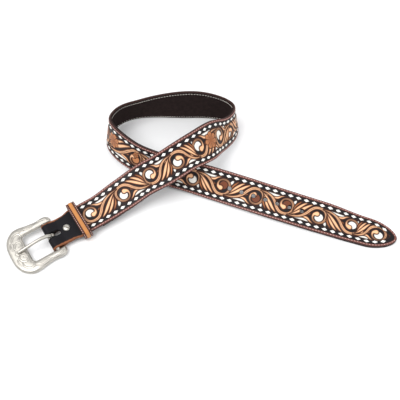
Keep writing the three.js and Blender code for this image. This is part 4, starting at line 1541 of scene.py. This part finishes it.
@dataclass
class Plate:
    """A cast or struck plate: a flat grid cut to an outline and raised on both sides."""

    name: str
    cell: float
    outline: Callable[[Array, Array], Array]
    front: Callable[[Array, Array, Array], tuple[Array, Array]]
    back: Callable[[Array, Array, Array], Array]

    def mesh(self, low: tuple[float, float], high: tuple[float, float]) -> tuple[bpy.types.Mesh, Array]:
        """Builds the plate about its own origin.

        Args:
            low: Lowest x and y of the grid.
            high: Highest x and y.

        Returns:
            The mesh, closed and dyed, and its vertex places in millimetres.
        """
        rows = round((high[0] - low[0]) / self.cell) + 1
        columns = round((high[1] - low[1]) / self.cell) + 1
        bm, row, column = grid_mesh(rows, columns)
        x = low[0] + row * self.cell
        y = low[1] + column * self.cell
        x, y = x.astype(float), y.astype(float)
        step = 0.02
        for attempt in range(3):
            away = self.outline(x, y)
            gx = (self.outline(x + step, y) - self.outline(x - step, y)) / (2 * step)
            gy = (self.outline(x, y + step) - self.outline(x, y - step)) / (2 * step)
            size = np.maximum(gx * gx + gy * gy, 0.05)
            if attempt == 0:
                move = np.abs(away) < SNAP_SHARE * self.cell
            x = np.where(move, x - away * gx / size, x)
            y = np.where(move, y - away * gy / size, y)
        away = self.outline(x, y)
        outside = (away > 0) & ~move
        for vertex in bm.verts:
            vertex.co = (x[vertex.index], y[vertex.index], 0.0)
        doomed = [bface for bface in bm.faces
                  if any(outside[vertex.index] for vertex in bface.verts)
                  or all(move[vertex.index] for vertex in bface.verts) and
                  self.outline(np.array([bface.calc_center_median().x]),
                               np.array([bface.calc_center_median().y]))[0] > 0]
        bmesh.ops.delete(bm, geom=doomed, context="FACES")
        bmesh.ops.delete(bm, geom=[vertex for vertex in bm.verts if not vertex.link_faces], context="VERTS")
        bmesh.ops.remove_doubles(bm, verts=bm.verts, dist=self.cell * 0.05)
        top = list(bm.faces)
        copy = bmesh.ops.duplicate(bm, geom=list(bm.verts) + list(bm.edges) + top)["geom"]
        under = [item for item in copy if isinstance(item, bmesh.types.BMFace)]
        bmesh.ops.reverse_faces(bm, faces=under)
        under_verts = {vertex for bface in under for vertex in bface.verts}
        bm.verts.index_update()
        below = np.array([vertex in under_verts for vertex in bm.verts])
        flat = np.array([vertex.co[:2] for vertex in bm.verts])
        px, py = flat[:, 0], flat[:, 1]
        depth = np.maximum(-self.outline(px, py), 0)
        z_front, colour = self.front(px, py, depth)
        z_back = self.back(px, py, depth)
        z = np.where(below, z_back, z_front)
        points = np.column_stack([px, py, z])
        dye = bm.verts.layers.float_color.new("dye")
        for vertex, point, tone in zip(bm.verts, points, np.clip(colour, 0, 1)):
            vertex.co = point
            vertex[dye] = (tone[0], tone[1], tone[2], 1.0)
        rim = [edge for edge in bm.edges if edge.is_boundary]
        lost = self._stitch_rims(bm, rim)
        LOG.info("%s: rim edges left open: %d", self.name, lost)
        bmesh.ops.recalc_face_normals(bm, faces=bm.faces)
        mesh = bpy.data.meshes.new(self.name)
        bm.to_mesh(mesh)
        bm.free()
        return mesh, np.array([vertex.co[:] for vertex in mesh.vertices])

    def _stitch_rims(self, bm: bmesh.types.BMesh, rim: list[bmesh.types.BMEdge]) -> int:
        """Closes the gap between the front's and the back's rims.

        Args:
            bm: The plate.
            rim: Its boundary edges.

        Returns:
            How many boundary edges are left.
        """
        pairs: dict[tuple[float, float], list[bmesh.types.BMVert]] = {}
        for edge in rim:
            for vertex in edge.verts:
                key = (round(vertex.co.x, 4), round(vertex.co.y, 4))
                if vertex not in pairs.setdefault(key, []):
                    pairs[key].append(vertex)
        other = {}
        for both in pairs.values():
            if len(both) == 2:
                other[both[0]] = both[1]
                other[both[1]] = both[0]
        seen = set()
        for edge in rim:
            a, b = edge.verts
            if a not in other or b not in other:
                continue
            key = frozenset((a, b, other[a], other[b]))
            if key in seen:
                continue
            seen.add(key)
            bmesh.ops.contextual_create(bm, geom=[a, b, other[b], other[a]])
        return sum(1 for edge in bm.edges if edge.is_boundary)


def polygon_distance(px: Array, py: Array, corners: Array) -> Array:
    """Signed distance to a closed polygon, negative inside.

    Args:
        px: Places' x.
        py: Places' y.
        corners: The polygon's corners, one to a row.

    Returns:
        The distances.
    """
    best = np.full(px.shape, 1e9)
    inside = np.zeros(px.shape, bool)
    ring = np.vstack([corners, corners[:1]])
    for (ax, ay), (bx, by) in zip(ring, ring[1:]):
        dx, dy = bx - ax, by - ay
        t = np.clip(((px - ax) * dx + (py - ay) * dy) / (dx * dx + dy * dy + 1e-12), 0, 1)
        best = np.minimum(best, np.hypot(px - ax - t * dx, py - ay - t * dy))
        cross = ((ay > py) != (by > py)) & (px < ax + (py - ay) * dx / (dy + (1e-12 if dy == 0 else 0)))
        inside ^= cross
    return np.where(inside, -best, best)


@dataclass
class Buckle:
    """The cast silver frame with its engraving, bar and prong."""

    course: Course
    width: float = 58.0
    reach: float = 47.0
    lobe_reach: float = 8.5
    thickness: float = 5.0
    front_band: float = 19.0
    arm_width: float = 11.6
    rim_top: float = 0.9
    rim_low: float = -0.9
    window_corner: float = 4.0
    prong_diameter: float = 4.0
    prong_arch: float = 3.2
    prong_overhang: float = 1.5
    turn: Array = field(default_factory=lambda: np.eye(3))
    edge: tuple[tuple[float, float], ...] = (
        (1.00, 0.00), (0.985, 0.40), (0.90, 0.74), (0.74, 0.96),
        (0.58, 1.00), (0.38, 0.94), (0.16, 0.90), (0.00, 0.93),
    )

    def outer(self) -> Array:
        """The frame's outer outline as a closed polygon.

        Returns:
            Its corners, one to a row.
        """
        half = self.width / 2
        lobe = self.arm_width * 0.56
        side = [(-forward * self.reach, out * half) for forward, out in self.edge]
        centre = (self.lobe_reach - lobe, half * 0.93 - lobe)
        for angle in (60, 20, -20, -60, -100):
            turn = math.radians(angle)
            side.append((centre[0] + lobe * math.cos(turn), centre[1] + lobe * math.sin(turn)))
        line = catmull_rom(np.array(side), 90)
        inner = half - self.arm_width
        back = np.array([(self.course.bar_radius, inner), (self.course.bar_radius, -inner)])
        mirrored = line[1:][::-1] * np.array([1, -1])
        return np.vstack([line, back, mirrored])

    def window(self) -> Array:
        """The opening in the frame.

        Returns:
            Its corners, one to a row, out past the frame's back edge.
        """
        half = self.width / 2 - self.arm_width
        front = -(self.reach - self.front_band)
        corner = self.window_corner
        bend = [(front + corner * (1 - math.sin(a)), half - corner * (1 - math.cos(a)))
                for a in np.linspace(0, math.pi / 2, 7)]
        upper = [(self.lobe_reach * 3, half)] + bend
        return np.array(upper + [(x, -y) for x, y in reversed(upper)])

    def build(self) -> list[bpy.types.Object]:
        """Builds the buckle.

        Returns:
            The frame, its bar and the prong.
        """
        outer, window = self.outer(), self.window()

        def outline(px: Array, py: Array) -> Array:
            """Returns the distance outside the cast frame."""
            return np.maximum(polygon_distance(px, py, outer), -polygon_distance(px, py, window))

        def front(px: Array, py: Array, depth: Array) -> tuple[Array, Array]:
            """Shapes and engraves the front.

            Args:
                px: Places' x.
                py: Places' y.
                depth: Distances in from the outline.

            Returns:
                Heights and linear colours.
            """
            round_edge = np.sin(np.pi / 2 * np.clip(depth / 2.4, 0, 1))
            crown = smooth(0.0, 6.0, depth)
            height = self.rim_top + (self.thickness / 2 - 0.05 - self.rim_top) * round_edge + 0.35 * crown
            board = Canvas(px, py, np.zeros(px.shape), np.tile(Tone.SILVER.linear(), (len(px), 1)))
            self._engrave(board, depth)
            return height + board.height, board.colour

        def back(px: Array, py: Array, depth: Array) -> Array:
            """Returns the back's height."""
            round_edge = np.sin(np.pi / 2 * np.clip(depth / 1.6, 0, 1))
            return self.rim_low - (self.thickness / 2 + self.rim_low) * round_edge

        cell = 0.34
        plate = Plate("buckle_casting", cell, outline, front, back)
        low = (-self.reach - 3 * cell, -self.width / 2 - 3 * cell)
        high = (self.lobe_reach + 4 * cell, self.width / 2 + 3 * cell)
        mesh, points = plate.mesh(low, high)
        placed = self.course.place_at_bar(points, self.turn)
        mesh.vertices.foreach_set("co", placed.reshape(-1).astype(np.float32))
        casting = finish_object(mesh, plate.name, SILVER_FINISH, Body.BUCKLE)
        return [casting, self._bar(), self._prong()]

    def _engrave(self, board: Canvas, depth: Array) -> None:
        """Cuts the scrolls, the border line and the sprays of the arms.

        Args:
            board: The canvas of the frame's front.
            depth: Distances in from the outline.
        """
        every = np.arange(len(board.x))
        border = np.exp(-((depth - 2.4) / 0.32) ** 2)
        board.height -= 0.14 * border
        board.paint(every, Tone.SILVER_LINE.linear(), border * 0.35)
        scrolls = (
            Stroke(((-37, 2, 0.3), (-39, 7, 0.9), (-36, 12, 1.1), (-31.5, 11.5, 1.0), (-31, 7.6, 0.8),
                    (-34, 6.4, 0.6))),
            Stroke(((-38, 12, 0.3), (-38, 17, 0.9), (-34, 21.5, 1.1), (-29, 21.5, 1.0), (-27.5, 17.6, 0.8),
                    (-30.4, 15.6, 0.6))),
            Stroke(((-41.5, 6, 0.3), (-42.0, 10.5, 0.8), (-40.8, 15, 0.4))),
            Stroke(((-34, 3.2, 0.3), (-31.4, 3.6, 0.7), (-29.8, 2.2, 0.3))),
            Stroke(((-27, 22.5, 0.3), (-21, 25.4, 0.9), (-15, 24.6, 1.0), (-9.6, 23.6, 0.4))),
            Stroke(((-22, 22.4, 0.3), (-16.5, 21.8, 0.7), (-12, 21.6, 0.3))),
            Stroke(((-8, 24.4, 0.3), (-3, 24.6, 0.8), (2.6, 23.6, 0.9), (5.0, 21.4, 0.4))),
        )
        for mirror in (1, -1):
            for stroke in scrolls:
                edge, middle, share = stroke.distance(board.x, mirror * board.y, 1.0)
                line = np.exp(-(edge / 0.3) ** 2)
                board.paint(every, Tone.SILVER_LINE.linear(), line * 0.42)
                board.height -= 0.2 * line
                hatch = (edge < -0.2) * (0.5 + 0.5 * np.sin(share * 60)) * np.clip(middle, 0, 1)
                board.height += 0.12 * (1 - smooth(-0.5, 0.0, edge)) - 0.07 * hatch
        star = np.hypot(board.x + 37.6, board.y)
        star = star - 2.6 - 0.7 * np.abs(np.cos(np.arctan2(board.y, board.x + 37.6) * 3))
        ring = np.exp(-(star / 0.3) ** 2)
        board.paint(every, Tone.SILVER_LINE.linear(), ring * 0.42)
        board.height -= 0.18 * ring

    def _bar(self) -> bpy.types.Object:
        """Builds the bar that the strap folds round.

        Returns:
            The bar's object.
        """
        bm = bmesh.new()
        length = self.width - self.arm_width
        bmesh.ops.create_cone(bm, cap_ends=True, segments=32, radius1=self.course.bar_radius,
                              radius2=self.course.bar_radius, depth=length)
        mesh = bpy.data.meshes.new("buckle_bar")
        bm.to_mesh(mesh)
        bm.free()
        points = np.array([vertex.co[:] for vertex in mesh.vertices])[:, [1, 2, 0]]
        placed = self.course.place_at_bar(points, self.turn)
        mesh.vertices.foreach_set("co", placed.reshape(-1).astype(np.float32))
        set_dye(mesh, Tone.SILVER.linear())
        return finish_object(mesh, "buckle_bar", SILVER_FINISH, Body.BUCKLE)

    def _prong(self) -> bpy.types.Object:
        """Builds the curved prong with its eye round the bar.

        Returns:
            The prong's object.
        """
        inner = self.course.bar_radius + self.course.piece_gap
        band_top = self.thickness / 2 + self.course.piece_gap
        tip = -(self.reach - self.front_band / 2 + self.prong_overhang)
        rest = band_top + self.prong_diameter / 2
        arch = self.prong_arch
        knots = [(0.0, inner + 1.2), (tip * 0.14, rest + arch * 0.75), (tip * 0.36, rest + arch),
                 (tip * 0.66, rest + arch * 0.45), (tip * 0.86, rest), (tip, rest - 0.32)]
        ring = [(inner + 0.8) * np.array([math.cos(angle), math.sin(angle)])
                for angle in np.radians(np.arange(-250, 89, 16))]
        line = catmull_rom(np.array(knots), 44)
        path = np.vstack([np.array(ring), line])
        share = np.concatenate([np.zeros(len(ring)), np.linspace(0, 1, 44)])
        ahead = unit(np.gradient(path, axis=0))
        sides = 20
        bm, row, column = grid_mesh(len(path), sides + 1)
        angle = column / sides * 2 * np.pi
        radius = self.prong_diameter / 2 * (1 - 0.12 * share)
        nose = np.sqrt(np.clip(1 - ((share - 0.9) / 0.1) ** 2, 0, 1))
        radius = np.where(share > 0.9, radius * nose, radius)
        swell = 1 - smooth(0.0, 0.3, share)
        wide = radius + 0.4 * swell
        round_eye = np.linspace(0, 1, len(ring))
        thick = radius.copy()
        thick[:len(ring)] = 0.8 + (radius[0] - 0.8) * smooth(0.55, 1.0, round_eye)
        up = np.column_stack([ahead[:, 1], -ahead[:, 0]])
        px = path[row, 0] + up[row, 0] * thick[row] * np.sin(angle)
        pz = path[row, 1] + up[row, 1] * thick[row] * np.sin(angle)
        py = wide[row] * np.cos(angle)
        points = np.column_stack([px, py, pz])
        for vertex, point in zip(bm.verts, self.course.place_at_bar(points, self.turn)):
            vertex.co = point
        seam = [vertex for vertex in bm.verts if column[vertex.index] in (0, sides)]
        ends = [vertex for vertex in bm.verts if row[vertex.index] == len(path) - 1]
        bmesh.ops.remove_doubles(bm, verts=seam, dist=MERGE)
        bmesh.ops.remove_doubles(bm, verts=[vertex for vertex in ends if vertex.is_valid], dist=MERGE)
        bmesh.ops.contextual_create(bm, geom=[edge for edge in bm.edges if edge.is_boundary])
        bmesh.ops.recalc_face_normals(bm, faces=bm.faces)
        mesh = bpy.data.meshes.new("prong_rod")
        bm.to_mesh(mesh)
        bm.free()
        set_dye(mesh, Tone.SILVER.linear())
        return finish_object(mesh, "prong_rod", SILVER_FINISH, Body.PRONG)


@dataclass
class Concho:
    """The star concho on the hump."""

    course: Course
    diameter: float = 38.0
    dome_diameter: float = 14.0
    petals: int = 12
    seat: float = 2.3

    def build(self) -> bpy.types.Object:
        """Builds the concho.

        Returns:
            The concho's object.
        """
        radius = self.diameter / 2

        def outline(px: Array, py: Array) -> Array:
            """Returns the distance outside the disc."""
            return np.hypot(px, py) - radius

        def front(px: Array, py: Array, depth: Array) -> tuple[Array, Array]:
            """Shapes and dyes the face.

            Args:
                px: Places' x.
                py: Places' y.
                depth: Distances in from the outline.

            Returns:
                Heights and linear colours.
            """
            reach = np.hypot(px, py)
            angle = np.arctan2(py, px)
            height = 0.3 + 1.3 * np.sqrt(1 - (1 - np.clip(depth / 0.9, 0, 1)) ** 2)
            height += 0.9 * smooth(0, radius, radius - reach)
            height -= 0.35 * np.exp(-((depth - 1.5) / 0.4) ** 2)
            colour = np.tile(Tone.CONCHO_FIELD.linear(), (len(px), 1))
            cloud = 0.5 + 0.5 * np.sin(px * 0.9 + 2 * np.sin(py * 0.7)) * np.sin(py * 1.1)
            mix = 0.4 * cloud[:, None]
            colour = colour * (1 - mix) + Tone.CONCHO_FIELD_DEEP.linear() * mix
            wedge = np.abs(((angle * self.petals / (2 * np.pi)) + 0.5) % 1.0 - 0.5) * 2
            run = np.clip((reach - 6.0) / (radius * 0.93 - 6.0), 0, 1)
            belly = 0.35 + 0.65 * smooth(0.0, 0.35, run) + 0.25 * (1 - run)
            wide = 0.92 * np.sqrt(np.clip(1 - run, 0, 1)) * belly
            wide = np.clip(wide, 0, 1) * (reach < radius * 0.93)
            petal = (wide - wedge) * reach * np.pi / self.petals
            inside = smooth(-0.12, 0.12, petal) * (reach > 5.5)
            rise = np.clip(petal / 1.3, 0, 1)
            height += inside * (0.25 + 0.85 * np.sqrt(rise))
            line = np.exp(-(petal / 0.22) ** 2) * (reach > 6.5) * (reach < radius * 0.95)
            colour = colour * (1 - inside[:, None]) + Tone.SILVER.linear() * inside[:, None]
            colour = colour * (1 - 0.55 * line[:, None]) + Tone.SILVER_LINE.linear() * 0.55 * line[:, None]
            vein = np.exp(-((wedge * reach * np.pi / self.petals) / 0.16) ** 2) * inside * (run < 0.85)
            height -= 0.14 * vein
            colour = colour * (1 - 0.4 * vein[:, None]) + Tone.SILVER_LINE.linear() * 0.4 * vein[:, None]
            dome_radius = self.dome_diameter / 2
            dome = np.clip(1 - (reach / dome_radius) ** 2, 0, 1)
            in_dome = 1 - smooth(dome_radius - 0.2, dome_radius + 0.2, reach)
            height = height * (1 - in_dome) + in_dome * (2.6 + 2.4 * np.sqrt(dome))
            facets = 0.5 + 0.5 * np.cos(angle * 8 + reach * 0.3)
            height -= in_dome * 0.16 * facets * smooth(0.8, 2.4, reach)
            colour = colour * (1 - in_dome[:, None]) + Tone.COPPER.linear() * in_dome[:, None]
            ring = np.exp(-((reach - dome_radius - 0.25) / 0.35) ** 2)
            colour = colour * (1 - 0.6 * ring[:, None]) + Tone.SILVER_LINE.linear() * 0.6 * ring[:, None]
            return height, colour

        def back(px: Array, py: Array, depth: Array) -> Array:
            """Returns the flat back."""
            return np.full(len(px), 0.02)

        plate = Plate("star_concho", 0.34, outline, front, back)
        mesh, points = plate.mesh((-radius - 1.02, -radius - 1.02), (radius + 1.02, radius + 1.02))
        at = np.full(1, self.course.back_at)
        axes = self.course.strap_axes(at)[0]
        origin = self.course.place(at, np.zeros(1), np.full(1, self.seat))[0]
        placed = (points @ axes.T) * METRES + origin
        mesh.vertices.foreach_set("co", placed.reshape(-1).astype(np.float32))
        return finish_object(mesh, plate.name, CONCHO_FINISH, Body.STRAP)


@dataclass
class FoldScrew:
    """The slotted screw that closes the fold."""

    course: Course
    at: float = 19.0
    diameter: float = 8.0
    height: float = 1.8

    def build(self) -> list[bpy.types.Object]:
        """Builds the screw's ends.

        Returns:
            The head, and the cap underneath.
        """
        radius = self.diameter / 2
        face = self.course.piece_gap / 2 + self.course.tooled_ply + 0.02
        turn = math.radians(40)

        def outline(px: Array, py: Array) -> Array:
            """Returns the distance outside the head."""
            return np.hypot(px, py) - radius

        def front(px: Array, py: Array, depth: Array) -> tuple[Array, Array]:
            """Shapes the domed head and its slot.

            Args:
                px: Places' x.
                py: Places' y.
                depth: Distances in from the outline.

            Returns:
                Heights and linear colours.
            """
            dome = np.sqrt(np.clip(1 - (1 - np.clip(depth / radius, 0, 1)) ** 2, 0, 1))
            height = 0.25 + (self.height - 0.25) * dome
            off = np.abs(px * math.cos(turn) + py * math.sin(turn))
            slot = 1 - smooth(0.42, 0.58, off)
            colour = np.tile(Tone.SILVER.linear(), (len(px), 1))
            colour = colour * (1 - 0.8 * slot[:, None]) + Tone.SILVER_LINE.linear() * 0.8 * slot[:, None]
            return height * (1 - slot) + np.minimum(height, self.height * 0.4) * slot, colour

        def back(px: Array, py: Array, depth: Array) -> Array:
            """Returns the flat back."""
            return np.zeros(len(px))

        made = []
        under = -(self.course.piece_gap / 2 + self.course.fold_ply)
        for name, sign, level in (("fold_screw_head", 1.0, face), ("fold_screw_cap", -1.0, under)):
            plate = Plate(name, 0.16, outline, front, back)
            mesh, points = plate.mesh((-radius - 0.48, -radius - 0.48), (radius + 0.48, radius + 0.48))
            squash = 1.0 if sign > 0 else 0.5
            points = points * np.array([1.0, sign, sign * squash]) + np.array([self.at, 0, level])
            placed = self.course.place_at_bar(points)
            mesh.vertices.foreach_set("co", placed.reshape(-1).astype(np.float32))
            made.append(finish_object(mesh, name, SILVER_FINISH, Body.STRAP))
        return made


@dataclass
class Keeper:
    """The leather loop with its orange stripe and stitched edges."""

    course: Course
    at: float = 35.0
    breadth: float = 10.0
    wall: float = 2.2
    room: float = 5.8
    side_room: float = 1.2
    corner: float = 3.0

    def ring(self, count: int) -> tuple[Array, Array, Array, Array]:
        """The loop's middle line.

        Args:
            count: How many places round it.

        Returns:
            y, z and the outward direction's y and z.
        """
        course = self.course
        half = course.strap_width / 2 + self.side_room + self.wall / 2
        low = -(course.piece_gap / 2 + course.fold_ply + course.piece_gap) - self.wall / 2
        high = course.piece_gap / 2 + course.tooled_ply + self.room + self.wall / 2
        r = self.corner - self.wall / 2 + 0.6
        points = []
        for cy, cz, start in ((half - r, high - r, 0), (-half + r, high - r, 90), (-half + r, low + r, 180),
                              (half - r, low + r, 270)):
            for angle in np.radians(np.linspace(start, start + 90, 12)):
                points.append((cy + r * math.cos(angle), cz + r * math.sin(angle)))
        points = np.array(points + points[:1])
        run = np.concatenate([[0], np.cumsum(np.hypot(*np.diff(points, axis=0).T))])
        wanted = np.linspace(0, run[-1], count)
        y, z = np.interp(wanted, run, points[:, 0]), np.interp(wanted, run, points[:, 1])
        dy, dz = np.gradient(y), np.gradient(z)
        dy[0] = dy[-1] = (y[1] - y[-2]) / 2
        dz[0] = dz[-1] = (z[1] - z[-2]) / 2
        size = np.hypot(dy, dz)
        return y, z, dz / size, -dy / size

    def build(self) -> list[bpy.types.Object]:
        """Builds the keeper.

        Returns:
            The loop, then its stitches.
        """
        around, sections = 260, 44
        y, z, ny, nz = self.ring(around)
        half = self.breadth / 2
        profile = [(x, 1.0) for x in np.linspace(-half + 0.5, half - 0.5, sections)]
        profile += [(half - 0.12, 0.85), (half, 0.4), (half, -0.6), (half - 0.3, -1.0)]
        profile += [(x, -1.0) for x in np.linspace(half - 1.5, -half + 1.5, 6)]
        profile += [(-half + 0.3, -1.0), (-half, -0.6), (-half, 0.4), (-half + 0.12, 0.85)]
        profile += [(-half + 0.5, 1.0)]
        px = np.array([item[0] for item in profile])
        pl = np.array([item[1] for item in profile])
        bm, row, column = grid_mesh(around, len(profile))
        x = px[column]
        outer = pl[column] > 0.99
        stripe = (1 - smooth(1.85, 2.15, np.abs(x))) * outer
        cut = np.exp(-((np.abs(x) - 2.35) / 0.3) ** 2) * outer
        level = pl[column] * self.wall / 2 + 0.32 * stripe - 0.2 * cut
        points = np.column_stack([self.at + x, y[row] + ny[row] * level, z[row] + nz[row] * level])
        colour = np.tile(Tone.KEEPER_EDGE.linear(), (len(x), 1))
        colour = colour * (1 - stripe[:, None]) + Tone.KEEPER.linear() * stripe[:, None]
        colour = np.where((pl[column] < 0)[:, None], Tone.NECK.linear(), colour)
        for vertex, point in zip(bm.verts, self.course.place_at_bar(points)):
            vertex.co = point
        dye = bm.verts.layers.float_color.new("dye")
        for vertex, tone in zip(bm.verts, np.clip(colour, 0, 1)):
            vertex[dye] = (tone[0], tone[1], tone[2], 1.0)
        bmesh.ops.remove_doubles(bm, verts=bm.verts, dist=MERGE)
        bmesh.ops.recalc_face_normals(bm, faces=bm.faces)
        mesh = bpy.data.meshes.new("keeper_loop")
        bm.to_mesh(mesh)
        bm.free()
        loop = finish_object(mesh, "keeper_loop", KEEPER_FINISH, Body.STRAP)
        return [loop, self._stitches()]

    def _stitches(self) -> bpy.types.Object:
        """Sews both edges of the loop.

        Returns:
            The stitches as one object.
        """
        y, z, ny, nz = self.ring(1600)
        run = np.concatenate([[0], np.cumsum(np.hypot(np.diff(y), np.diff(z)))])
        count = round(run[-1] / 2.5)
        pick = np.searchsorted(run, (np.arange(count) + 0.5) * run[-1] / count)
        along_y, along_z = -nz[pick], ny[pick]
        origins, axes = [], []
        for x in (-3.9, 3.9):
            level = self.wall / 2 + 0.08
            local = np.column_stack([np.full(count, self.at + x), y[pick] + ny[pick] * level,
                                     z[pick] + nz[pick] * level])
            origins.append(self.course.place_at_bar(local))
            one = np.stack([
                np.column_stack([np.zeros(count), along_y, along_z]),
                np.column_stack([np.ones(count), np.zeros(count), np.zeros(count)]),
                np.column_stack([np.zeros(count), ny[pick], nz[pick]]),
            ], axis=-1)
            axes.append(np.einsum("ij,njk->nik", self.course.bar_axes, one))
        thread = Scatter("keeper_thread", THREAD_FINISH, Slot.KEEPER, Tone.THREAD)
        return thread.build(thread_stitch(1.8, 0.5), np.vstack(origins), np.vstack(axes))


@dataclass
class Studio:
    """The floor, the lights and the camera."""

    focal: float = 45.0
    eye: tuple[float, float, float] = (-0.00718, -0.36784, 0.47691)
    target: tuple[float, float, float] = (-0.00352, -0.02228, 0.0)
    roll_deg: float = 0.29

    def build(self) -> None:
        """Sets the scene up round the belt."""
        self._floor()
        self._light("key", (-0.45, -0.3, 1.0), 0.7, 8.0)
        self._light("fill", (0.75, -0.35, 0.8), 1.1, 4.0)
        self._light("back", (0.15, 0.85, 0.7), 0.9, 2.0)
        world = bpy.data.worlds.new("studio")
        world.use_nodes = True
        world.node_tree.nodes["Background"].inputs["Color"].default_value = (0.97, 0.98, 1.0, 1.0)
        world.node_tree.nodes["Background"].inputs["Strength"].default_value = 0.72
        bpy.context.scene.world = world
        bpy.context.scene.view_settings.view_transform = "Standard"
        lens = bpy.data.cameras.new("photo_view")
        lens.lens = self.focal
        lens.sensor_width = 36.0
        camera = bpy.data.objects.new("photo_view", lens)
        camera.location = self.eye
        aim = Vector(self.target) - Vector(self.eye)
        level = aim.to_track_quat("-Z", "Y")
        roll = Quaternion((0.0, 0.0, 1.0), math.radians(self.roll_deg))
        camera.rotation_euler = (level @ roll).to_euler()
        bpy.context.scene.collection.objects.link(camera)
        bpy.context.scene.camera = camera

    def _floor(self) -> None:
        """Lays a plain pale floor."""
        bm = bmesh.new()
        bmesh.ops.create_grid(bm, x_segments=1, y_segments=1, size=4.0)
        mesh = bpy.data.meshes.new("pale_floor")
        bm.to_mesh(mesh)
        bm.free()
        floor = bpy.data.objects.new("pale_floor", mesh)
        bpy.context.scene.collection.objects.link(floor)
        paint = bpy.data.materials.new("pale_floor")
        paint.use_nodes = True
        paint.node_tree.nodes["Principled BSDF"].inputs["Base Color"].default_value = (0.93, 0.93, 0.93, 1)
        paint.node_tree.nodes["Principled BSDF"].inputs["Roughness"].default_value = 0.9
        mesh.materials.append(paint)

    def _light(self, name: str, place: tuple[float, float, float], size: float, power: float) -> None:
        """Hangs one soft square light that faces the belt.

        Args:
            name: The light's name.
            place: Where it hangs, in metres.
            size: The length of its side.
            power: Its power in watts.
        """
        lamp = bpy.data.lights.new(name, "AREA")
        lamp.size = size
        lamp.energy = power
        made = bpy.data.objects.new(name, lamp)
        made.location = place
        made.rotation_euler = (-Vector(place)).to_track_quat("-Z", "Y").to_euler()
        bpy.context.scene.collection.objects.link(made)


def buckle_turn(frame: dict[str, Any], course: Course) -> Array:
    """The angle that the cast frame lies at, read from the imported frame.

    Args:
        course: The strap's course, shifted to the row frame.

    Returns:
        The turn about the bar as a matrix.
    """
    vertices = np.array([vertex.co[:] for vertex in frame["nodes"]["buckle_frame"].data.vertices]) / METRES
    local = (vertices - course.shift - course.bar_centre) @ course.bar_axes
    front = local[local[:, 0] < local[:, 0].min() + 3.0].mean(axis=0)
    angle = math.atan2(front[2], -front[0])
    c, s = math.cos(angle), math.sin(angle)
    return np.array([[c, 0, s], [0, 1, 0], [-s, 0, c]])


def main() -> None:
    logging.basicConfig(level=logging.INFO, format="%(message)s")
    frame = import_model()
    course = Course()
    hinge = np.array(frame["joints"][0]["pos_m"]) / METRES
    course.shift = hinge - course.bar_centre
    tooling = Tooling(course)
    faces = StrapFace(course, tooling).build()
    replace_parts(faces[0], "strap")
    Neck(course).build()
    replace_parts(Lining(course, tooling).build(), "lining")
    EdgeWork(course).build()
    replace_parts(Keeper(course).build()[0], "keeper")
    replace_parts(FoldScrew(course).build()[0], "fold_screw")
    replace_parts(Concho(course).build(), "concho")
    buckle = Buckle(course, turn=buckle_turn(frame, course))
    casting, _, prong = buckle.build()
    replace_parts(casting, "buckle_frame")
    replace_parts(prong, "prong")
    Studio().build()


if __name__ == "__main__":
    main()
